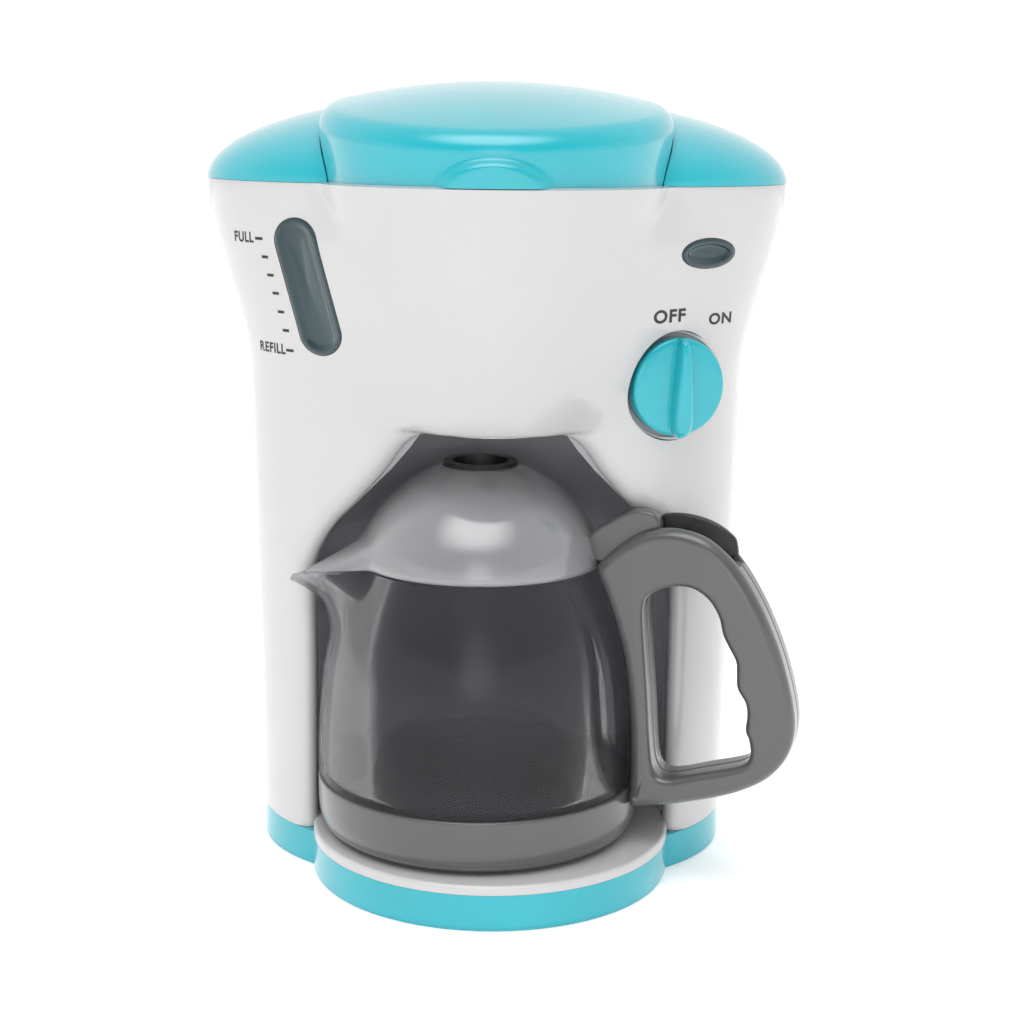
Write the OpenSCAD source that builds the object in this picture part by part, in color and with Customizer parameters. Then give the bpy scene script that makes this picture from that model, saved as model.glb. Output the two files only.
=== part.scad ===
// Toy coffee maker. A two-part moulded housing stands on a coloured tray. A flip lid on top opens
// on a water tank, a turn knob works a drain valve, and a jug with a hinged lid stands in the cave.
// Millimetres. Z is up and the front faces -Y. The origin is on the plane that the tray stands on,
// in the middle of the width, where the front and rear halves of the housing meet.

/* [Housing] */
// Half width of the housing just above the tray
base_half_w = 78.2; // [72:0.1:94]
// Half width of the housing where its sides start to flare
waist_half_w = 81.2; // [74:0.1:98]
// Half width of the housing at its top seam
top_half_w = 93.5; // [84:0.1:112]
// Reach of the curved front ahead of the parting plane, at the tray
front_reach = 56.3; // [50:0.1:68]
// Reach of the curved back behind the parting plane, at the tray
rear_reach = 51; // [48:0.1:60]
// Height of the top seam
housing_top = 222; // [210:1:268]
// Height where the side flare begins
flare_z = 157; // [140:1:180]
// Thickness of the housing walls
wall = 2.5; // [2:0.1:3]

/* [Tray] */
// Height of the coloured tray
tray_h = 11.5; // [9:0.1:14]
// Height of the tray's floor above the surface that its rim stands on
floor_z = 2; // [1:0.1:3]
// Thickness of the tray's floor
floor_t = 2.4; // [1.6:0.1:3]
// Width of the standing rim under the tray
rim_w = 3.2; // [2:0.1:5]
// Rounded lower edge of the tray
edge = 1.2; // [0.4:0.1:1.8]

/* [Deck and cave] */
// Radius of the round front of the deck
lobe_r = 58.3; // [56:0.1:66]
// Thickness of the white deck on the tray
deck_t = 3; // [2:0.1:4]
// Distance of the deck's and the cave's axis ahead of the parting plane
cave_y = 31.7; // [28:0.1:36]
// Radius inside the cave liner
cave_r = 57; // [54:0.1:62]
// Height where the cave starts to close over the jug
spring_z = 98; // [80:1:110]
// Radius of the cave where its ceiling lies flat
crown_r = 25; // [20:0.5:30]
// Height of the cave's ceiling
crown_z = 149; // [144:0.5:160]
// Thickness of the cave liner
liner_t = 2; // [1.5:0.1:2.5]
// How much wider the cave's white mouth is than the liner
mouth_step = 9; // [3:0.1:10]
// Depth of the white mouth behind the housing's front
mouth_depth = 9; // [5:0.1:12]
// Width of the flat panel down the back of the cave
panel_w = 30; // [20:1:40]
// Thickness of that panel
panel_t = 2.5; // [1:0.1:3]

/* [Funnel front] */
// Distance of the funnel's axis ahead of the parting plane
funnel_y = 42; // [38:0.1:46]
// Reach of the funnel ahead of its axis at the top seam
funnel_top_r = 57.5; // [52:0.1:60]
// Reach of the funnel ahead of its axis at its foot
funnel_foot_r = 24; // [20:0.1:27]
// Height of the funnel's foot
funnel_foot_z = 147.5; // [142:0.1:158]
// Width of the funnel as a part of its depth
funnel_squash = 0.94; // [0.85:0.01:1]
// Height of the cup that holds the drip nozzle
cup_h = 7; // [5:0.1:8]

/* [Top cover and lid] */
// Rise of the top cover above the seam
cap_h = 27.5; // [24:0.1:32]
// Height of the lid's crown above the seam
crown_h = 31; // [29:0.1:36]
// Fall of the lid's surface, 50 mm from the crown
crown_fall = 6; // [4:0.1:7]
// Distance of the lid's crown ahead of the parting plane
crown_y = 16; // [10:0.5:22]
// Thickness of the lid
lid_t = 2.2; // [1.8:0.1:2.6]
// Gap around the lid
lid_gap = 0.4; // [0.3:0.05:0.6]
// How much the lid widens from the seam up to its rim
lid_flare = 3.5; // [2:0.1:5]
// Distance of the hinge behind the parting plane
hinge_y = 9; // [6:0.5:12]
// Radius of the hinge knuckles
knuckle_r = 3; // [2.6:0.1:3.4]
// Radius of the hinge pin
hinge_pin_r = 1.2; // [1:0.05:1.4]
// Half length of the hinge
hinge_half_w = 20; // [16:0.5:24]
// Half length of the cover's own knuckle
mid_knuckle = 10; // [7:0.5:13]

/* [Knob and valve] */
// Radius of the knob
knob_r = 15.25; // [13:0.05:18.5]
// Thickness of the knob's disc
knob_t = 7.5; // [6:0.1:9]
// Height of the grip bar above the disc
grip_h = 5; // [3:0.1:7]
// Width of the grip bar
grip_w = 6.4; // [5:0.1:8]
// Distance of the knob from the middle plane
knob_x = 55; // [50:0.5:58]
// Height of the knob
knob_z = 161; // [154:0.5:168]
// Turn of the knob's axis away from straight ahead
knob_tilt = 20; // [12:1:26]
// Radius of the knob's stem
stem_r = 4; // [3:0.1:4.5]
// Radius of the turning plug in the valve
plug_r = 5; // [4.8:0.1:6]
// Radial running clearance of the stem and the plug
run_gap = 0.05; // [0.03:0.01:0.09]
// Length of the valve's body
valve_l = 22; // [20:0.5:26]
// Radius of the valve's water way
port_r = 1.8; // [1.4:0.1:2.2]

/* [Sight window and lens] */
// Distance of the sight window from the middle plane
window_x = 56.8; // [52:0.1:60]
// Height of the middle of the sight window
window_z = 190.5; // [184:0.5:196]
// Distance between the window's two end circles
window_l = 28.7; // [22:0.1:32]
// Radius of the window's ends
window_r = 7.2; // [5:0.1:9]
// Lean of the window's top away from the middle
window_lean = 14; // [8:0.5:20]
// Distance of the indicator lens from the middle plane
lens_x = 65; // [60:0.5:68]
// Height of the indicator lens
lens_z = 202; // [194:0.5:206]
// Half width of the indicator lens
lens_a = 8.9; // [7:0.1:10]
// Half height of the indicator lens
lens_b = 4.7; // [3.5:0.1:6]

/* [Tank] */
// Half width of the water tank
tank_half_w = 73; // [62:0.5:75]
// Height of the tank's floor
tank_z = 172; // [168:0.5:180]
// Thickness of the tank's wall
tank_wall = 1.8; // [1.4:0.1:2.4]
// Reach of the tank's well into the funnel, ahead of the funnel's axis
well_r = 33; // [26:0.5:36]

/* [Jug] */
// Sideways place of the jug's axis
jug_x = -4.2; // [-4.4:0.1:0]
// Distance of the jug's axis ahead of the parting plane
jug_y = 33; // [32:0.1:36]
// Outer radius of the jug's band
band_r = 52.3; // [46:0.1:52.5]
// Height of the band
band_h = 18; // [14:0.1:22]
// Height of the jug's rim
rim_z = 102.6; // [92:0.1:106]
// Outer radius at the jug's rim
rim_r = 39; // [34:0.5:42]
// Wall of the clear jug and of its lid
jug_wall = 2; // [1.5:0.1:2.6]
// Height of the jug lid's dome
dome_h = 31; // [28:0.5:35]
// Radius of the drip hole in the jug's lid
drip_r = 11.5; // [8:0.1:13]
// Reach of the spout from the jug's axis
spout_reach = 61.6; // [56:0.1:64]
// Turn of the spout to the front
spout_turn = 7; // [0:0.5:10]
// Direction of the handle, turned to the front
handle_turn = 17; // [12:0.1:20]
// Thickness of the handle
handle_t = 16.4; // [14:0.1:18]
// Play between the jug and the deck, and around the jug's lid
play = 0.25; // [0.2:0.05:0.4]

/* [Screws and batteries] */
// Radius of a screw's shank
screw_r = 1.45; // [1.2:0.05:1.7]
// Radius of a screw's head
head_r = 2.8; // [2.4:0.1:3.2]
// Radius of the bosses that take the screws
boss_r = 4; // [3.6:0.1:5]
// Radius of a battery
cell_r = 7.1; // [5.2:0.1:7.2]
// Length of a battery
cell_l = 50.5; // [44:0.1:51]

/* [Hidden] */
$fn = 96;
eps = 0.01;
fit = 0.1;
turquoise = "#3bc3c8";
white = "#eeeeee";
liner_grey = "#4b4b52";
smoke = [0.42, 0.42, 0.45, 0.55];
handle_grey = "#77787b";
black = "#17171a";
steel = "#b9bcc0";

front_ratio = front_reach / base_half_w;
rear_ratio = rear_reach / base_half_w;
deck_z = tray_h + deck_t;
floor_top = floor_z + floor_t;
seam = housing_top;
knob_axis = [sin(knob_tilt), -cos(knob_tilt), 0];

// ---------------------------------------------------------------- shared forms

function smooth(t) = t * t * (3 - 2 * t);

// Half width of the housing at height z: nearly upright, then flaring out to the top seam.
function side_w(z) = z < flare_z
    ? base_half_w + (waist_half_w - base_half_w) * max(0, z - tray_h) / (flare_z - tray_h)
    : waist_half_w + (top_half_w - waist_half_w) * smooth(min(1, (z - flare_z) / (seam - flare_z)));

// Ratio of depth to width for a wall surface that lies `inset` inside the outer one.
function depth_ratio(reach, inset) = (reach - inset) / (base_half_w - inset);

// Distance of the housing's front surface ahead of the parting plane at x and z.
function front_at(x, z) = side_w(z) * front_ratio * sqrt(1 - pow(x / side_w(z), 2));

// A closed smooth curve through chosen points, with `n` steps between each pair.
function knot(p, i) = p[(i + len(p)) % len(p)];
function blend(a, b, c, d, t) =
    0.5 * (2 * b + (c - a) * t + (2 * a - 5 * b + 4 * c - d) * t * t + (3 * b - a - 3 * c + d) * t * t * t);
function curve(p, n) = [
    for (i = [0 : len(p) - 1], s = [0 : n - 1])
        blend(knot(p, i - 1), knot(p, i), knot(p, i + 1), knot(p, i + 2), s / n)
];

// Half of an upright elliptical solid that follows the housing's flare, in front of or behind
// the parting plane.
module half_form(front, inset, z0, z1) {
    reach = front ? front_reach : rear_reach;
    levels = [z0, for (k = [0 : 9]) let (z = flare_z + (seam - flare_z) * k / 9) if (z > z0 && z < z1) z, z1];
    side = [for (z = levels) [side_w(z) - inset, z]];
    mirror([0, front ? 1 : 0, 0])
        scale([1, depth_ratio(reach, inset), 1])
            rotate_extrude(angle = 180)
                polygon(concat([[0, z0]], side, [[0, z1]]));
}

module whole_form(inset, z0, z1) {
    half_form(true, inset, z0, z1);
    half_form(false, inset, z0, z1);
}

// The funnel-shaped bulge that carries the lid: a turned form, a little narrower than it is deep.
function funnel_r(z) = funnel_foot_r
    + (funnel_top_r - funnel_foot_r) * pow(max(0, z - funnel_foot_z) / (seam - funnel_foot_z), 0.6);

module funnel_form(inset, z0, z1) {
    levels = [for (k = [0 : 8]) z0 + (z1 - z0) * pow(k / 8, 1.4)];
    translate([0, -funnel_y, 0])
        scale([funnel_squash, 1, 1])
            rotate_extrude()
                polygon(concat([[0, z0]], [for (z = levels) [funnel_r(z) - inset, z]], [[0, z1]]));
}

// The cave: a drum that closes in to a flat crown, grown outward by `grow`. Each pair is a part
// of the way from the crown's radius out to the drum's, and a part of the way up.
cave_curve = [
    [1, 0], [0.985, 0.1], [0.93, 0.2], [0.77, 0.33], [0.6, 0.45], [0.42, 0.58], [0.26, 0.7],
    [0.12, 0.83], [0.04, 0.92], [0, 1]
];

module cave_form(grow, z0) {
    side = [
        for (p = cave_curve)
            [crown_r + (cave_r - crown_r) * p[0] + grow, spring_z + (crown_z - spring_z) * p[1]]
    ];
    translate([0, -cave_y, 0])
        rotate_extrude()
            polygon(concat([[0, z0], [cave_r + grow, z0]], side, [[0, crown_z + grow]]));
}

// The lid's outline: a cone that widens upward from the seam, cut straight across at the hinge.
module lid_plan(grow, z0, z1) {
    r0 = funnel_top_r - lid_flare + 1;
    rise = (z0 - seam) / cap_h;
    top = (z1 - seam) / cap_h;
    intersection() {
        translate([0, -funnel_y, z0])
            scale([funnel_squash, 1, 1])
                cylinder(r1 = r0 + lid_flare * rise + grow, r2 = r0 + lid_flare * top + grow, h = z1 - z0);
        translate([-top_half_w, hinge_y - 1.3 + grow - 2 * top_half_w, z0 - 1])
            cube([2 * top_half_w, 2 * top_half_w, z1 - z0 + 2]);
    }
}

// The lid's upper surface, a shallow dome around its crown, lowered by `drop`.
module lid_dome(drop) {
    levels = [8, 25, 45, 60, 75, 95];
    top = seam + crown_h - drop;
    translate([0, -crown_y, 0])
        rotate_extrude()
            polygon(concat(
                [[0, seam - 5], [95, seam - 5]],
                [for (i = [5 : -1 : 0]) [levels[i], top - crown_fall * pow(levels[i] / 50, 2)]],
                [[0, top - crown_fall * pow(levels[0] / 50, 2)]]
            ));
}

// Half of the low dome of the top cover.
module cap_half(front, inset) {
    reach = front ? front_reach : rear_reach;
    r = top_half_w + 0.3 - inset;
    h = cap_h - inset;
    mirror([0, front ? 1 : 0, 0])
        scale([1, depth_ratio(reach, 0), 1])
            rotate_extrude(angle = 180)
                polygon(concat([[0, seam]], [for (k = [0 : 9]) [r * cos(10 * k), seam + h * sin(10 * k)]]));
}

// Places children with their Z axis along the knob's axis, at depth t behind the knob's seat.
module on_knob_axis(t) {
    translate([knob_x, -front_at(knob_x, knob_z) + 2.2, knob_z])
        translate(-t * knob_axis)
            rotate([0, 0, knob_tilt])
                rotate([90, 0, 0])
                    children();
}

// A rod from one point to another.
module rod(a, b, r) {
    d = b - a;
    l = norm(d);
    translate(a)
        rotate([0, acos(d[2] / l), atan2(d[1], d[0])])
            cylinder(r = r, h = l, $fn = 32);
}

// Upright slot-shaped prism along Y, for the sight window.
module slot_prism(r) {
    translate([-window_x, 0, window_z])
        rotate([0, -window_lean, 0])
            rotate([90, 0, 0]) {
                for (s = [-1, 1])
                    translate([0, s * window_l / 2, 0])
                        cylinder(r = r, h = 120, $fn = 48);
                translate([-r, -window_l / 2, 0])
                    cube([2 * r, window_l, 120]);
            }
}

// Oval prism along Y, for the indicator lens.
module oval_prism(grow) {
    translate([lens_x, 0, lens_z])
        rotate([90, 0, 0])
            linear_extrude(120)
                polygon([
                    for (k = [0 : 35])
                        [(lens_a + grow) * cos(10 * k), (lens_b + grow) * sin(10 * k)]
                ]);
}

// Fastener with its head at the origin and its shank along +Z.
module screw(length) {
    difference() {
        translate([0, 0, -2])
            cylinder(r = head_r, h = 2, $fn = 32);
        for (a = [0, 90])
            rotate([0, 0, a])
                translate([-1.8, -0.35, -2 - eps])
                    cube([3.6, 0.7, 1]);
    }
    cylinder(r = screw_r, h = length, $fn = 24);
}

housing_screw_at = [[68, 42], [80, 198]];
housing_screw_seat = 6;
tray_screw_at = [[70, -14], [51, 33.5]];
tray_screw_seat = 6;

module at_housing_screws() {
    for (s = [-1, 1], p = housing_screw_at)
        translate([s * p[0], 0, p[1]])
            children();
}

module at_tray_screws() {
    for (s = [-1, 1], p = tray_screw_at)
        translate([s * p[0], p[1], 0])
            children();
}

// ---------------------------------------------------------------- tray and batteries

module tray_plan(inset, z0, z1) {
    whole_form(inset, z0, z1);
    translate([0, -cave_y, z0])
        cylinder(r = lobe_r - inset, h = z1 - z0);
}

module base_tray() {
    color(turquoise)
        difference() {
            union() {
                tray_plan(0, edge, tray_h);
                tray_plan(edge / 2, 0, edge);
            }
            tray_plan(rim_w, -1, floor_z);
            difference() {
                tray_plan(wall, floor_top, tray_h + 1);
                at_tray_screws()
                    cylinder(r = boss_r + 0.4, h = tray_h);
            }
            at_tray_screws() {
                translate([0, 0, -1])
                    cylinder(r = head_r + 0.4, h = tray_screw_seat + 1, $fn = 32);
                cylinder(r = screw_r + fit, h = 40, $fn = 24);
            }
        }
}

box_y = cave_r + liner_t - cave_y + 1.3;
box_h = 2 * cell_r * 2 + 6;
box_half = cell_l / 2 + 4;
box_wall = 1.2;
cell_y = box_y + box_wall + cell_r + 0.1;
box_back = cell_y + cell_r;
cell_z = [floor_top + 1.6 + cell_r, floor_top + 2.6 + 3 * cell_r];

module battery_box() {
    color(white)
        difference() {
            translate([-box_half, box_y, floor_top])
                cube([2 * box_half, box_back - box_y, box_h]);
            for (z = cell_z)
                translate([-box_half + box_wall, cell_y, z])
                    rotate([0, 90, 0])
                        cylinder(r = cell_r + 0.1, h = 2 * (box_half - box_wall), $fn = 48);
            for (z = cell_z)
                translate([-box_half + box_wall, cell_y, z - cell_r - 0.1])
                    cube([2 * (box_half - box_wall), 20, 2 * cell_r + 0.2]);
            translate([box_half - box_wall - 0.7, cell_y - 4.2, cell_z[0]])
                cube([0.7, 30, cell_z[1] - cell_z[0]]);
        }
}

module batteries() {
    color("#3b6ea5")
        for (i = [0, 1])
            translate([0, cell_y, cell_z[i]])
                mirror([i, 0, 0])
                    rotate([0, 90, 0]) {
                        translate([0, 0, -cell_l / 2])
                            cylinder(r = cell_r, h = cell_l - 1.4, $fn = 48);
                        translate([0, 0, cell_l / 2 - 1.4])
                            cylinder(r = 2.7, h = 1.4, $fn = 32);
                    }
}

module battery_contacts() {
    plate_x = box_half - box_wall - 0.5;
    color(steel) {
        translate([plate_x, cell_y - 4, cell_z[0] - 4])
            cube([0.5, 8, cell_z[1] - cell_z[0] + 8]);
        for (z = cell_z)
            translate([-plate_x - 0.5, cell_y, z])
                rotate([0, 90, 0])
                    cylinder(r1 = 4.5, r2 = 2.5, h = plate_x + 0.5 - cell_l / 2 - 0.05, $fn = 32);
        for (z = cell_z)
            translate([plate_x, cell_y, z])
                rotate([0, -90, 0])
                    cylinder(r1 = 3.6, r2 = 2.5, h = plate_x - cell_l / 2 - 0.05, $fn = 32);
    }
}

door_half = box_half + 1.5;
door_z0 = tray_h + 3;
door_z1 = floor_top + box_h + 9;
door_screw_z = door_z1 - 5;

module door_prism(gap) {
    translate([-door_half - gap, 0, door_z0 - gap])
        cube([2 * (door_half + gap), rear_reach + 20, door_z1 - door_z0 + 2 * gap]);
}

module door_boss(r, y0, y1) {
    translate([0, y1, door_screw_z])
        rotate([90, 0, 0])
            cylinder(r = r, h = y1 - y0, $fn = 32);
}

module battery_door() {
    color(white)
        difference() {
            union() {
                intersection() {
                    difference() {
                        half_form(false, 0, tray_h, seam);
                        half_form(false, wall, tray_h - 1, seam + 1);
                    }
                    door_prism(0);
                }
                door_boss(boss_r, rear_reach - 6, rear_reach - 1);
            }
            door_boss(screw_r + fit, 0, rear_reach + 9);
            door_boss(head_r + 0.3, rear_reach - 3, rear_reach + 9);
        }
}

module battery_door_screw() {
    color(steel)
        translate([0, rear_reach - 3, door_screw_z])
            rotate([90, 0, 0])
                screw(12);
}

// ---------------------------------------------------------------- housing

// The knob's seat: a round socket set square to the knob's axis.
seat_r = knob_r + 0.9;
seat_t = 2.4;

module knob_seat() {
    intersection() {
        on_knob_axis(seat_t)
            cylinder(r = seat_r + 2, h = seat_t + 12);
        half_form(true, -1.2, knob_z - 30, knob_z + 30);
    }
}

board_z0 = 182;
board_z1 = 212;
board_x0 = 47.5;
board_x1 = 67;
board_y = 32.5;
board_hole = [[52, 185.5], [52, 208.5]];

module board_posts(r, y0, y1) {
    for (p = board_hole)
        translate([p[0], -y0, p[1]])
            rotate([90, 0, 0])
                cylinder(r = r, h = y1 - y0, $fn = 32);
}

module front_housing() {
    color(white)
        difference() {
            union() {
                difference() {
                    union() {
                        half_form(true, 0, tray_h, seam);
                        funnel_form(0, funnel_foot_z, seam);
                    }
                    half_form(true, wall, tray_h - 1, seam + 1);
                    funnel_form(wall, funnel_foot_z + wall, seam + 1);
                    translate([-top_half_w, 0, tray_h - 1])
                        cube([2 * top_half_w, top_half_w, seam]);
                }
                funnel_cup();
                mouth_collar();
                deck();
                knob_seat();
                intersection() {
                    union() {
                        at_housing_screws()
                            rotate([90, 0, 0])
                                cylinder(r = boss_r, h = front_reach, $fn = 32);
                        at_tray_screws()
                            cylinder(r = boss_r, h = 34, $fn = 32);
                        board_posts(boss_r - 0.6, board_y + 1.8, front_reach + 6);
                    }
                    half_form(true, 1, tray_h, seam);
                }
            }
            mouth_cut();
            translate([0, 0, -eps])
                slot_prism(window_r);
            oval_prism(0);
            at_housing_screws()
                translate([0, eps, 0])
                    rotate([90, 0, 0])
                        cylinder(r = screw_r + fit, h = 18, $fn = 24);
            at_tray_screws()
                cylinder(r = screw_r + fit, h = 26, $fn = 24);
            board_posts(screw_r + fit, board_y, board_y + 8);
            on_knob_axis(0)
                cylinder(r = seat_r, h = 30);
            on_knob_axis(seat_t + 30)
                cylinder(r = stem_r + run_gap, h = 60);
            on_knob_axis(seat_t + 30)
                cylinder(r = plug_r + 3.3, h = 30);
            nozzle_hole();
        }
}

// Closed foot of the funnel, which reaches back over the cave and holds the drip nozzle.
module funnel_cup() {
    difference() {
        intersection() {
            funnel_form(0, funnel_foot_z, seam);
            translate([-60, -120, funnel_foot_z])
                cube([120, 120, cup_h]);
        }
        funnel_form(wall, funnel_foot_z + wall, seam + 1);
    }
}

module nozzle_hole() {
    translate([0, -cave_y, funnel_foot_z - 1])
        cylinder(r = 4.6, h = 8, $fn = 32);
}

// The mouth of the cave: a collar that turns in from the front wall, and a ledge that
// steps in to the liner.
module mouth_collar() {
    intersection() {
        difference() {
            cave_form(mouth_step + 2, tray_h);
            cave_form(0, deck_z);
        }
        difference() {
            half_form(true, 0, tray_h, funnel_foot_z + 6);
            half_form(true, mouth_depth + 2, tray_h - 1, funnel_foot_z + 7);
        }
    }
}

module mouth_cut() {
    difference() {
        cave_form(mouth_step, deck_z);
        half_form(true, mouth_depth, tray_h, seam);
        funnel_form(0, funnel_foot_z, seam);
        translate([-top_half_w, 0, 0])
            cube([2 * top_half_w, top_half_w, seam]);
    }
}

module deck() {
    translate([0, -cave_y, tray_h]) {
        cylinder(r = lobe_r, h = deck_t - 1.2);
        cylinder(r = lobe_r - 1, h = deck_t);
    }
    intersection() {
        translate([0, -cave_y, tray_h])
            cylinder(r = cave_r + liner_t + 0.6, h = deck_t);
        whole_form(wall - eps, tray_h, deck_z);
    }
}

module rear_cover() {
    color(white)
        difference() {
            union() {
                difference() {
                    half_form(false, 0, tray_h, seam);
                    half_form(false, wall, tray_h - 1, seam + 1);
                }
                intersection() {
                    union() {
                        at_housing_screws()
                            rotate([-90, 0, 0])
                                cylinder(r = boss_r + 0.6, h = rear_reach + 10, $fn = 32);
                        at_tray_screws()
                            cylinder(r = boss_r, h = 28, $fn = 32);
                    }
                    half_form(false, 1, tray_h, seam);
                }
            }
            at_housing_screws() {
                rotate([-90, 0, 0])
                    cylinder(r = screw_r + fit, h = 30, $fn = 24);
                translate([0, housing_screw_seat, 0])
                    rotate([-90, 0, 0])
                        cylinder(r = head_r + 0.4, h = 90, $fn = 32);
            }
            at_tray_screws()
                cylinder(r = screw_r + fit, h = 26, $fn = 24);
            door_prism(0.3);
        }
}

module cave_liner() {
    color(liner_grey)
        difference() {
            union() {
                difference() {
                    cave_form(liner_t, deck_z);
                    cave_form(0, deck_z - 1);
                }
                intersection() {
                    translate([-panel_w / 2, cave_r - cave_y - panel_t, deck_z])
                        cube([panel_w, panel_t + 1, spring_z + 10 - deck_z]);
                    cave_form(1, deck_z);
                }
            }
            difference() {
                translate([-top_half_w, -top_half_w, 0])
                    cube([2 * top_half_w, top_half_w, seam]);
                half_form(true, mouth_depth + 2 + fit, tray_h, seam - 1);
            }
            funnel_form(-0.3, funnel_foot_z - 0.6, seam);
        }
}

// ---------------------------------------------------------------- top cover and lid

hinge_z = seam + crown_h - crown_fall * pow((hinge_y + crown_y) / 50, 2) - knuckle_r;

module hinge_rod(r, x0, x1) {
    translate([x0, hinge_y, hinge_z])
        rotate([0, 90, 0])
            cylinder(r = r, h = x1 - x0, $fn = 48);
}

module top_cover() {
    color(turquoise)
        difference() {
            union() {
                difference() {
                    union() {
                        cap_half(true, 0);
                        cap_half(false, 0);
                    }
                    cap_half(true, wall);
                    cap_half(false, wall);
                    translate([0, 0, seam - 1])
                        linear_extrude(1 + eps)
                            square(2 * top_half_w, center = true);
                }
                // wall that hangs from the edge of the opening
                intersection() {
                    difference() {
                        lid_plan(lid_gap + 2, seam, seam + cap_h + 5);
                        lid_plan(lid_gap, seam - 1, seam + cap_h + 6);
                    }
                    union() {
                        cap_half(true, 0.5);
                        cap_half(false, 0.5);
                    }
                }
                // block that carries the cover's own knuckle
                intersection() {
                    translate([-mid_knuckle, hinge_y, hinge_z - 7])
                        cube([2 * mid_knuckle, 6, 7]);
                    cap_half(false, 0.5);
                }
                hinge_rod(knuckle_r, -mid_knuckle, mid_knuckle);
            }
            difference() {
                union() {
                    lid_plan(lid_gap, seam - 1, seam + cap_h + 6);
                    hinge_rod(knuckle_r + 0.7, -hinge_half_w - 8, hinge_half_w + 8);
                }
                hinge_rod(knuckle_r, -mid_knuckle, mid_knuckle);
                translate([-mid_knuckle, hinge_y, hinge_z - 7])
                    cube([2 * mid_knuckle, 6, 7]);
            }
            hinge_rod(hinge_pin_r, -hinge_half_w - 6, hinge_half_w + 6);
        }
}

notch_r = 50;
notch_in = 3;

module notch_ball(grow) {
    translate([0, -funnel_y - funnel_top_r - 1 - notch_r + notch_in, seam - 7])
        sphere(r = notch_r + grow);
}

module lid() {
    color(turquoise)
        difference() {
            union() {
                intersection() {
                    lid_dome(0);
                    lid_plan(0, seam + play, seam + cap_h + 8);
                }
                for (s = [-1, 1])
                    intersection() {
                        hinge_rod(
                            knuckle_r,
                            s > 0 ? mid_knuckle + 0.3 : -hinge_half_w,
                            s > 0 ? hinge_half_w : -mid_knuckle - 0.3
                        );
                        lid_dome(0);
                    }
            }
            difference() {
                intersection() {
                    lid_dome(lid_t);
                    lid_plan(-lid_t, seam - 1, seam + cap_h + 8);
                }
                notch_ball(lid_t);
                for (s = [-1, 1])
                    translate([s * (mid_knuckle + hinge_half_w) / 2 - 4.7, hinge_y - 6, hinge_z - knuckle_r])
                        cube([9.4, 7, 9]);
            }
            notch_ball(0);
            translate([-top_half_w, -funnel_y + 4, seam - 1])
                cube([2 * top_half_w, 100, 17]);
            hinge_rod(knuckle_r + 0.4, -mid_knuckle - 0.3, mid_knuckle + 0.3);
            hinge_rod(hinge_pin_r + run_gap, -hinge_half_w - 6, hinge_half_w + 6);
        }
}

module lid_hinge_pin() {
    color(steel)
        hinge_rod(hinge_pin_r, -hinge_half_w, hinge_half_w);
}

// ---------------------------------------------------------------- water

// Plan of the tank: the housing's inside, with a corner left out for the lamp and its board.
module tank_form(inset, z0) {
    difference() {
        union() {
            for (front = [true, false])
                mirror([0, front ? 1 : 0, 0])
                    scale([1, (front ? 0.68 : 0.52) * (1 - inset / 200), 1])
                        rotate_extrude(angle = 180)
                            translate([0, z0])
                                square([tank_half_w - inset, seam + 1 - z0]);
            translate([0, -funnel_y, z0])
                cylinder(r = well_r - inset, h = seam + 1 - z0);
        }
        translate([board_x0 - 8 - inset, -100, z0 - 1])
            cube([100, 100 - board_y + 3.5 + inset, 80]);
    }
}

port_t = 19;
port = [
    knob_x - port_t * knob_axis[0],
    -front_at(knob_x, knob_z) + 2.2 - port_t * knob_axis[1],
    knob_z
];

module water_tank() {
    color("#e6e9ea")
        difference() {
            union() {
                intersection() {
                    tank_form(0, tank_z);
                    translate([-100, -100, tank_z])
                        cube([200, 200, seam - 0.3 - tank_z]);
                }
                intersection() {
                    union() {
                        half_form(true, wall + 0.3, seam - 2.6, seam - 0.3);
                        half_form(false, wall + 0.3, seam - 2.6, seam - 0.3);
                        funnel_form(wall + 0.3, seam - 2.6, seam - 0.3);
                    }
                    translate([-100, -110, 0])
                        cube([200, 200, 300]);
                }
                translate([port[0], port[1], tank_z - 3.5])
                    cylinder(r = port_r + 1.4, h = 5, $fn = 32);
            }
            tank_form(tank_wall, tank_z + tank_wall);
            translate([port[0], port[1], tank_z - 10])
                cylinder(r = port_r, h = 20, $fn = 32);
        }
}

socket_r = port_r + 1.4 + 1.6;

module tank_seal() {
    color(black)
        translate([port[0], port[1], tank_z - 2])
            rotate_extrude($fn = 48)
                translate([port_r + 1.4 + 0.8, 0])
                    circle(r = 0.75, $fn = 16);
}

module valve_body() {
    color("#d8d8d8")
        difference() {
            union() {
                on_knob_axis(seat_t + valve_l)
                    cylinder(r = plug_r + 3.2, h = valve_l);
                translate([port[0], port[1], knob_z])
                    cylinder(r = socket_r + 1.6, h = tank_z - 0.6 - knob_z, $fn = 48);
                outlet(4);
            }
            on_knob_axis(seat_t + valve_l + 20)
                cylinder(r = plug_r + run_gap, h = 60);
            translate([port[0], port[1], knob_z])
                cylinder(r = port_r, h = 20, $fn = 32);
            translate([port[0], port[1], tank_z - 4])
                cylinder(r = socket_r, h = 10, $fn = 48);
            outlet(port_r);
        }
}

// The valve's side outlet, square to the knob's axis.
outlet_dir = [-cos(knob_tilt), -sin(knob_tilt), 0];
outlet_l = plug_r + 8;

module outlet(r) {
    rod(port + outlet_dir * (r > port_r ? plug_r + 1 : 0), port + outlet_dir * outlet_l, r);
}

tube_r = 3;
bend = [port[0] + outlet_dir[0] * (outlet_l + 9), port[1] + outlet_dir[1] * (outlet_l + 9), knob_z];
drop = [0, -cave_y, knob_z];
tube_foot_z = funnel_foot_z + wall + 4.5;

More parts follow.
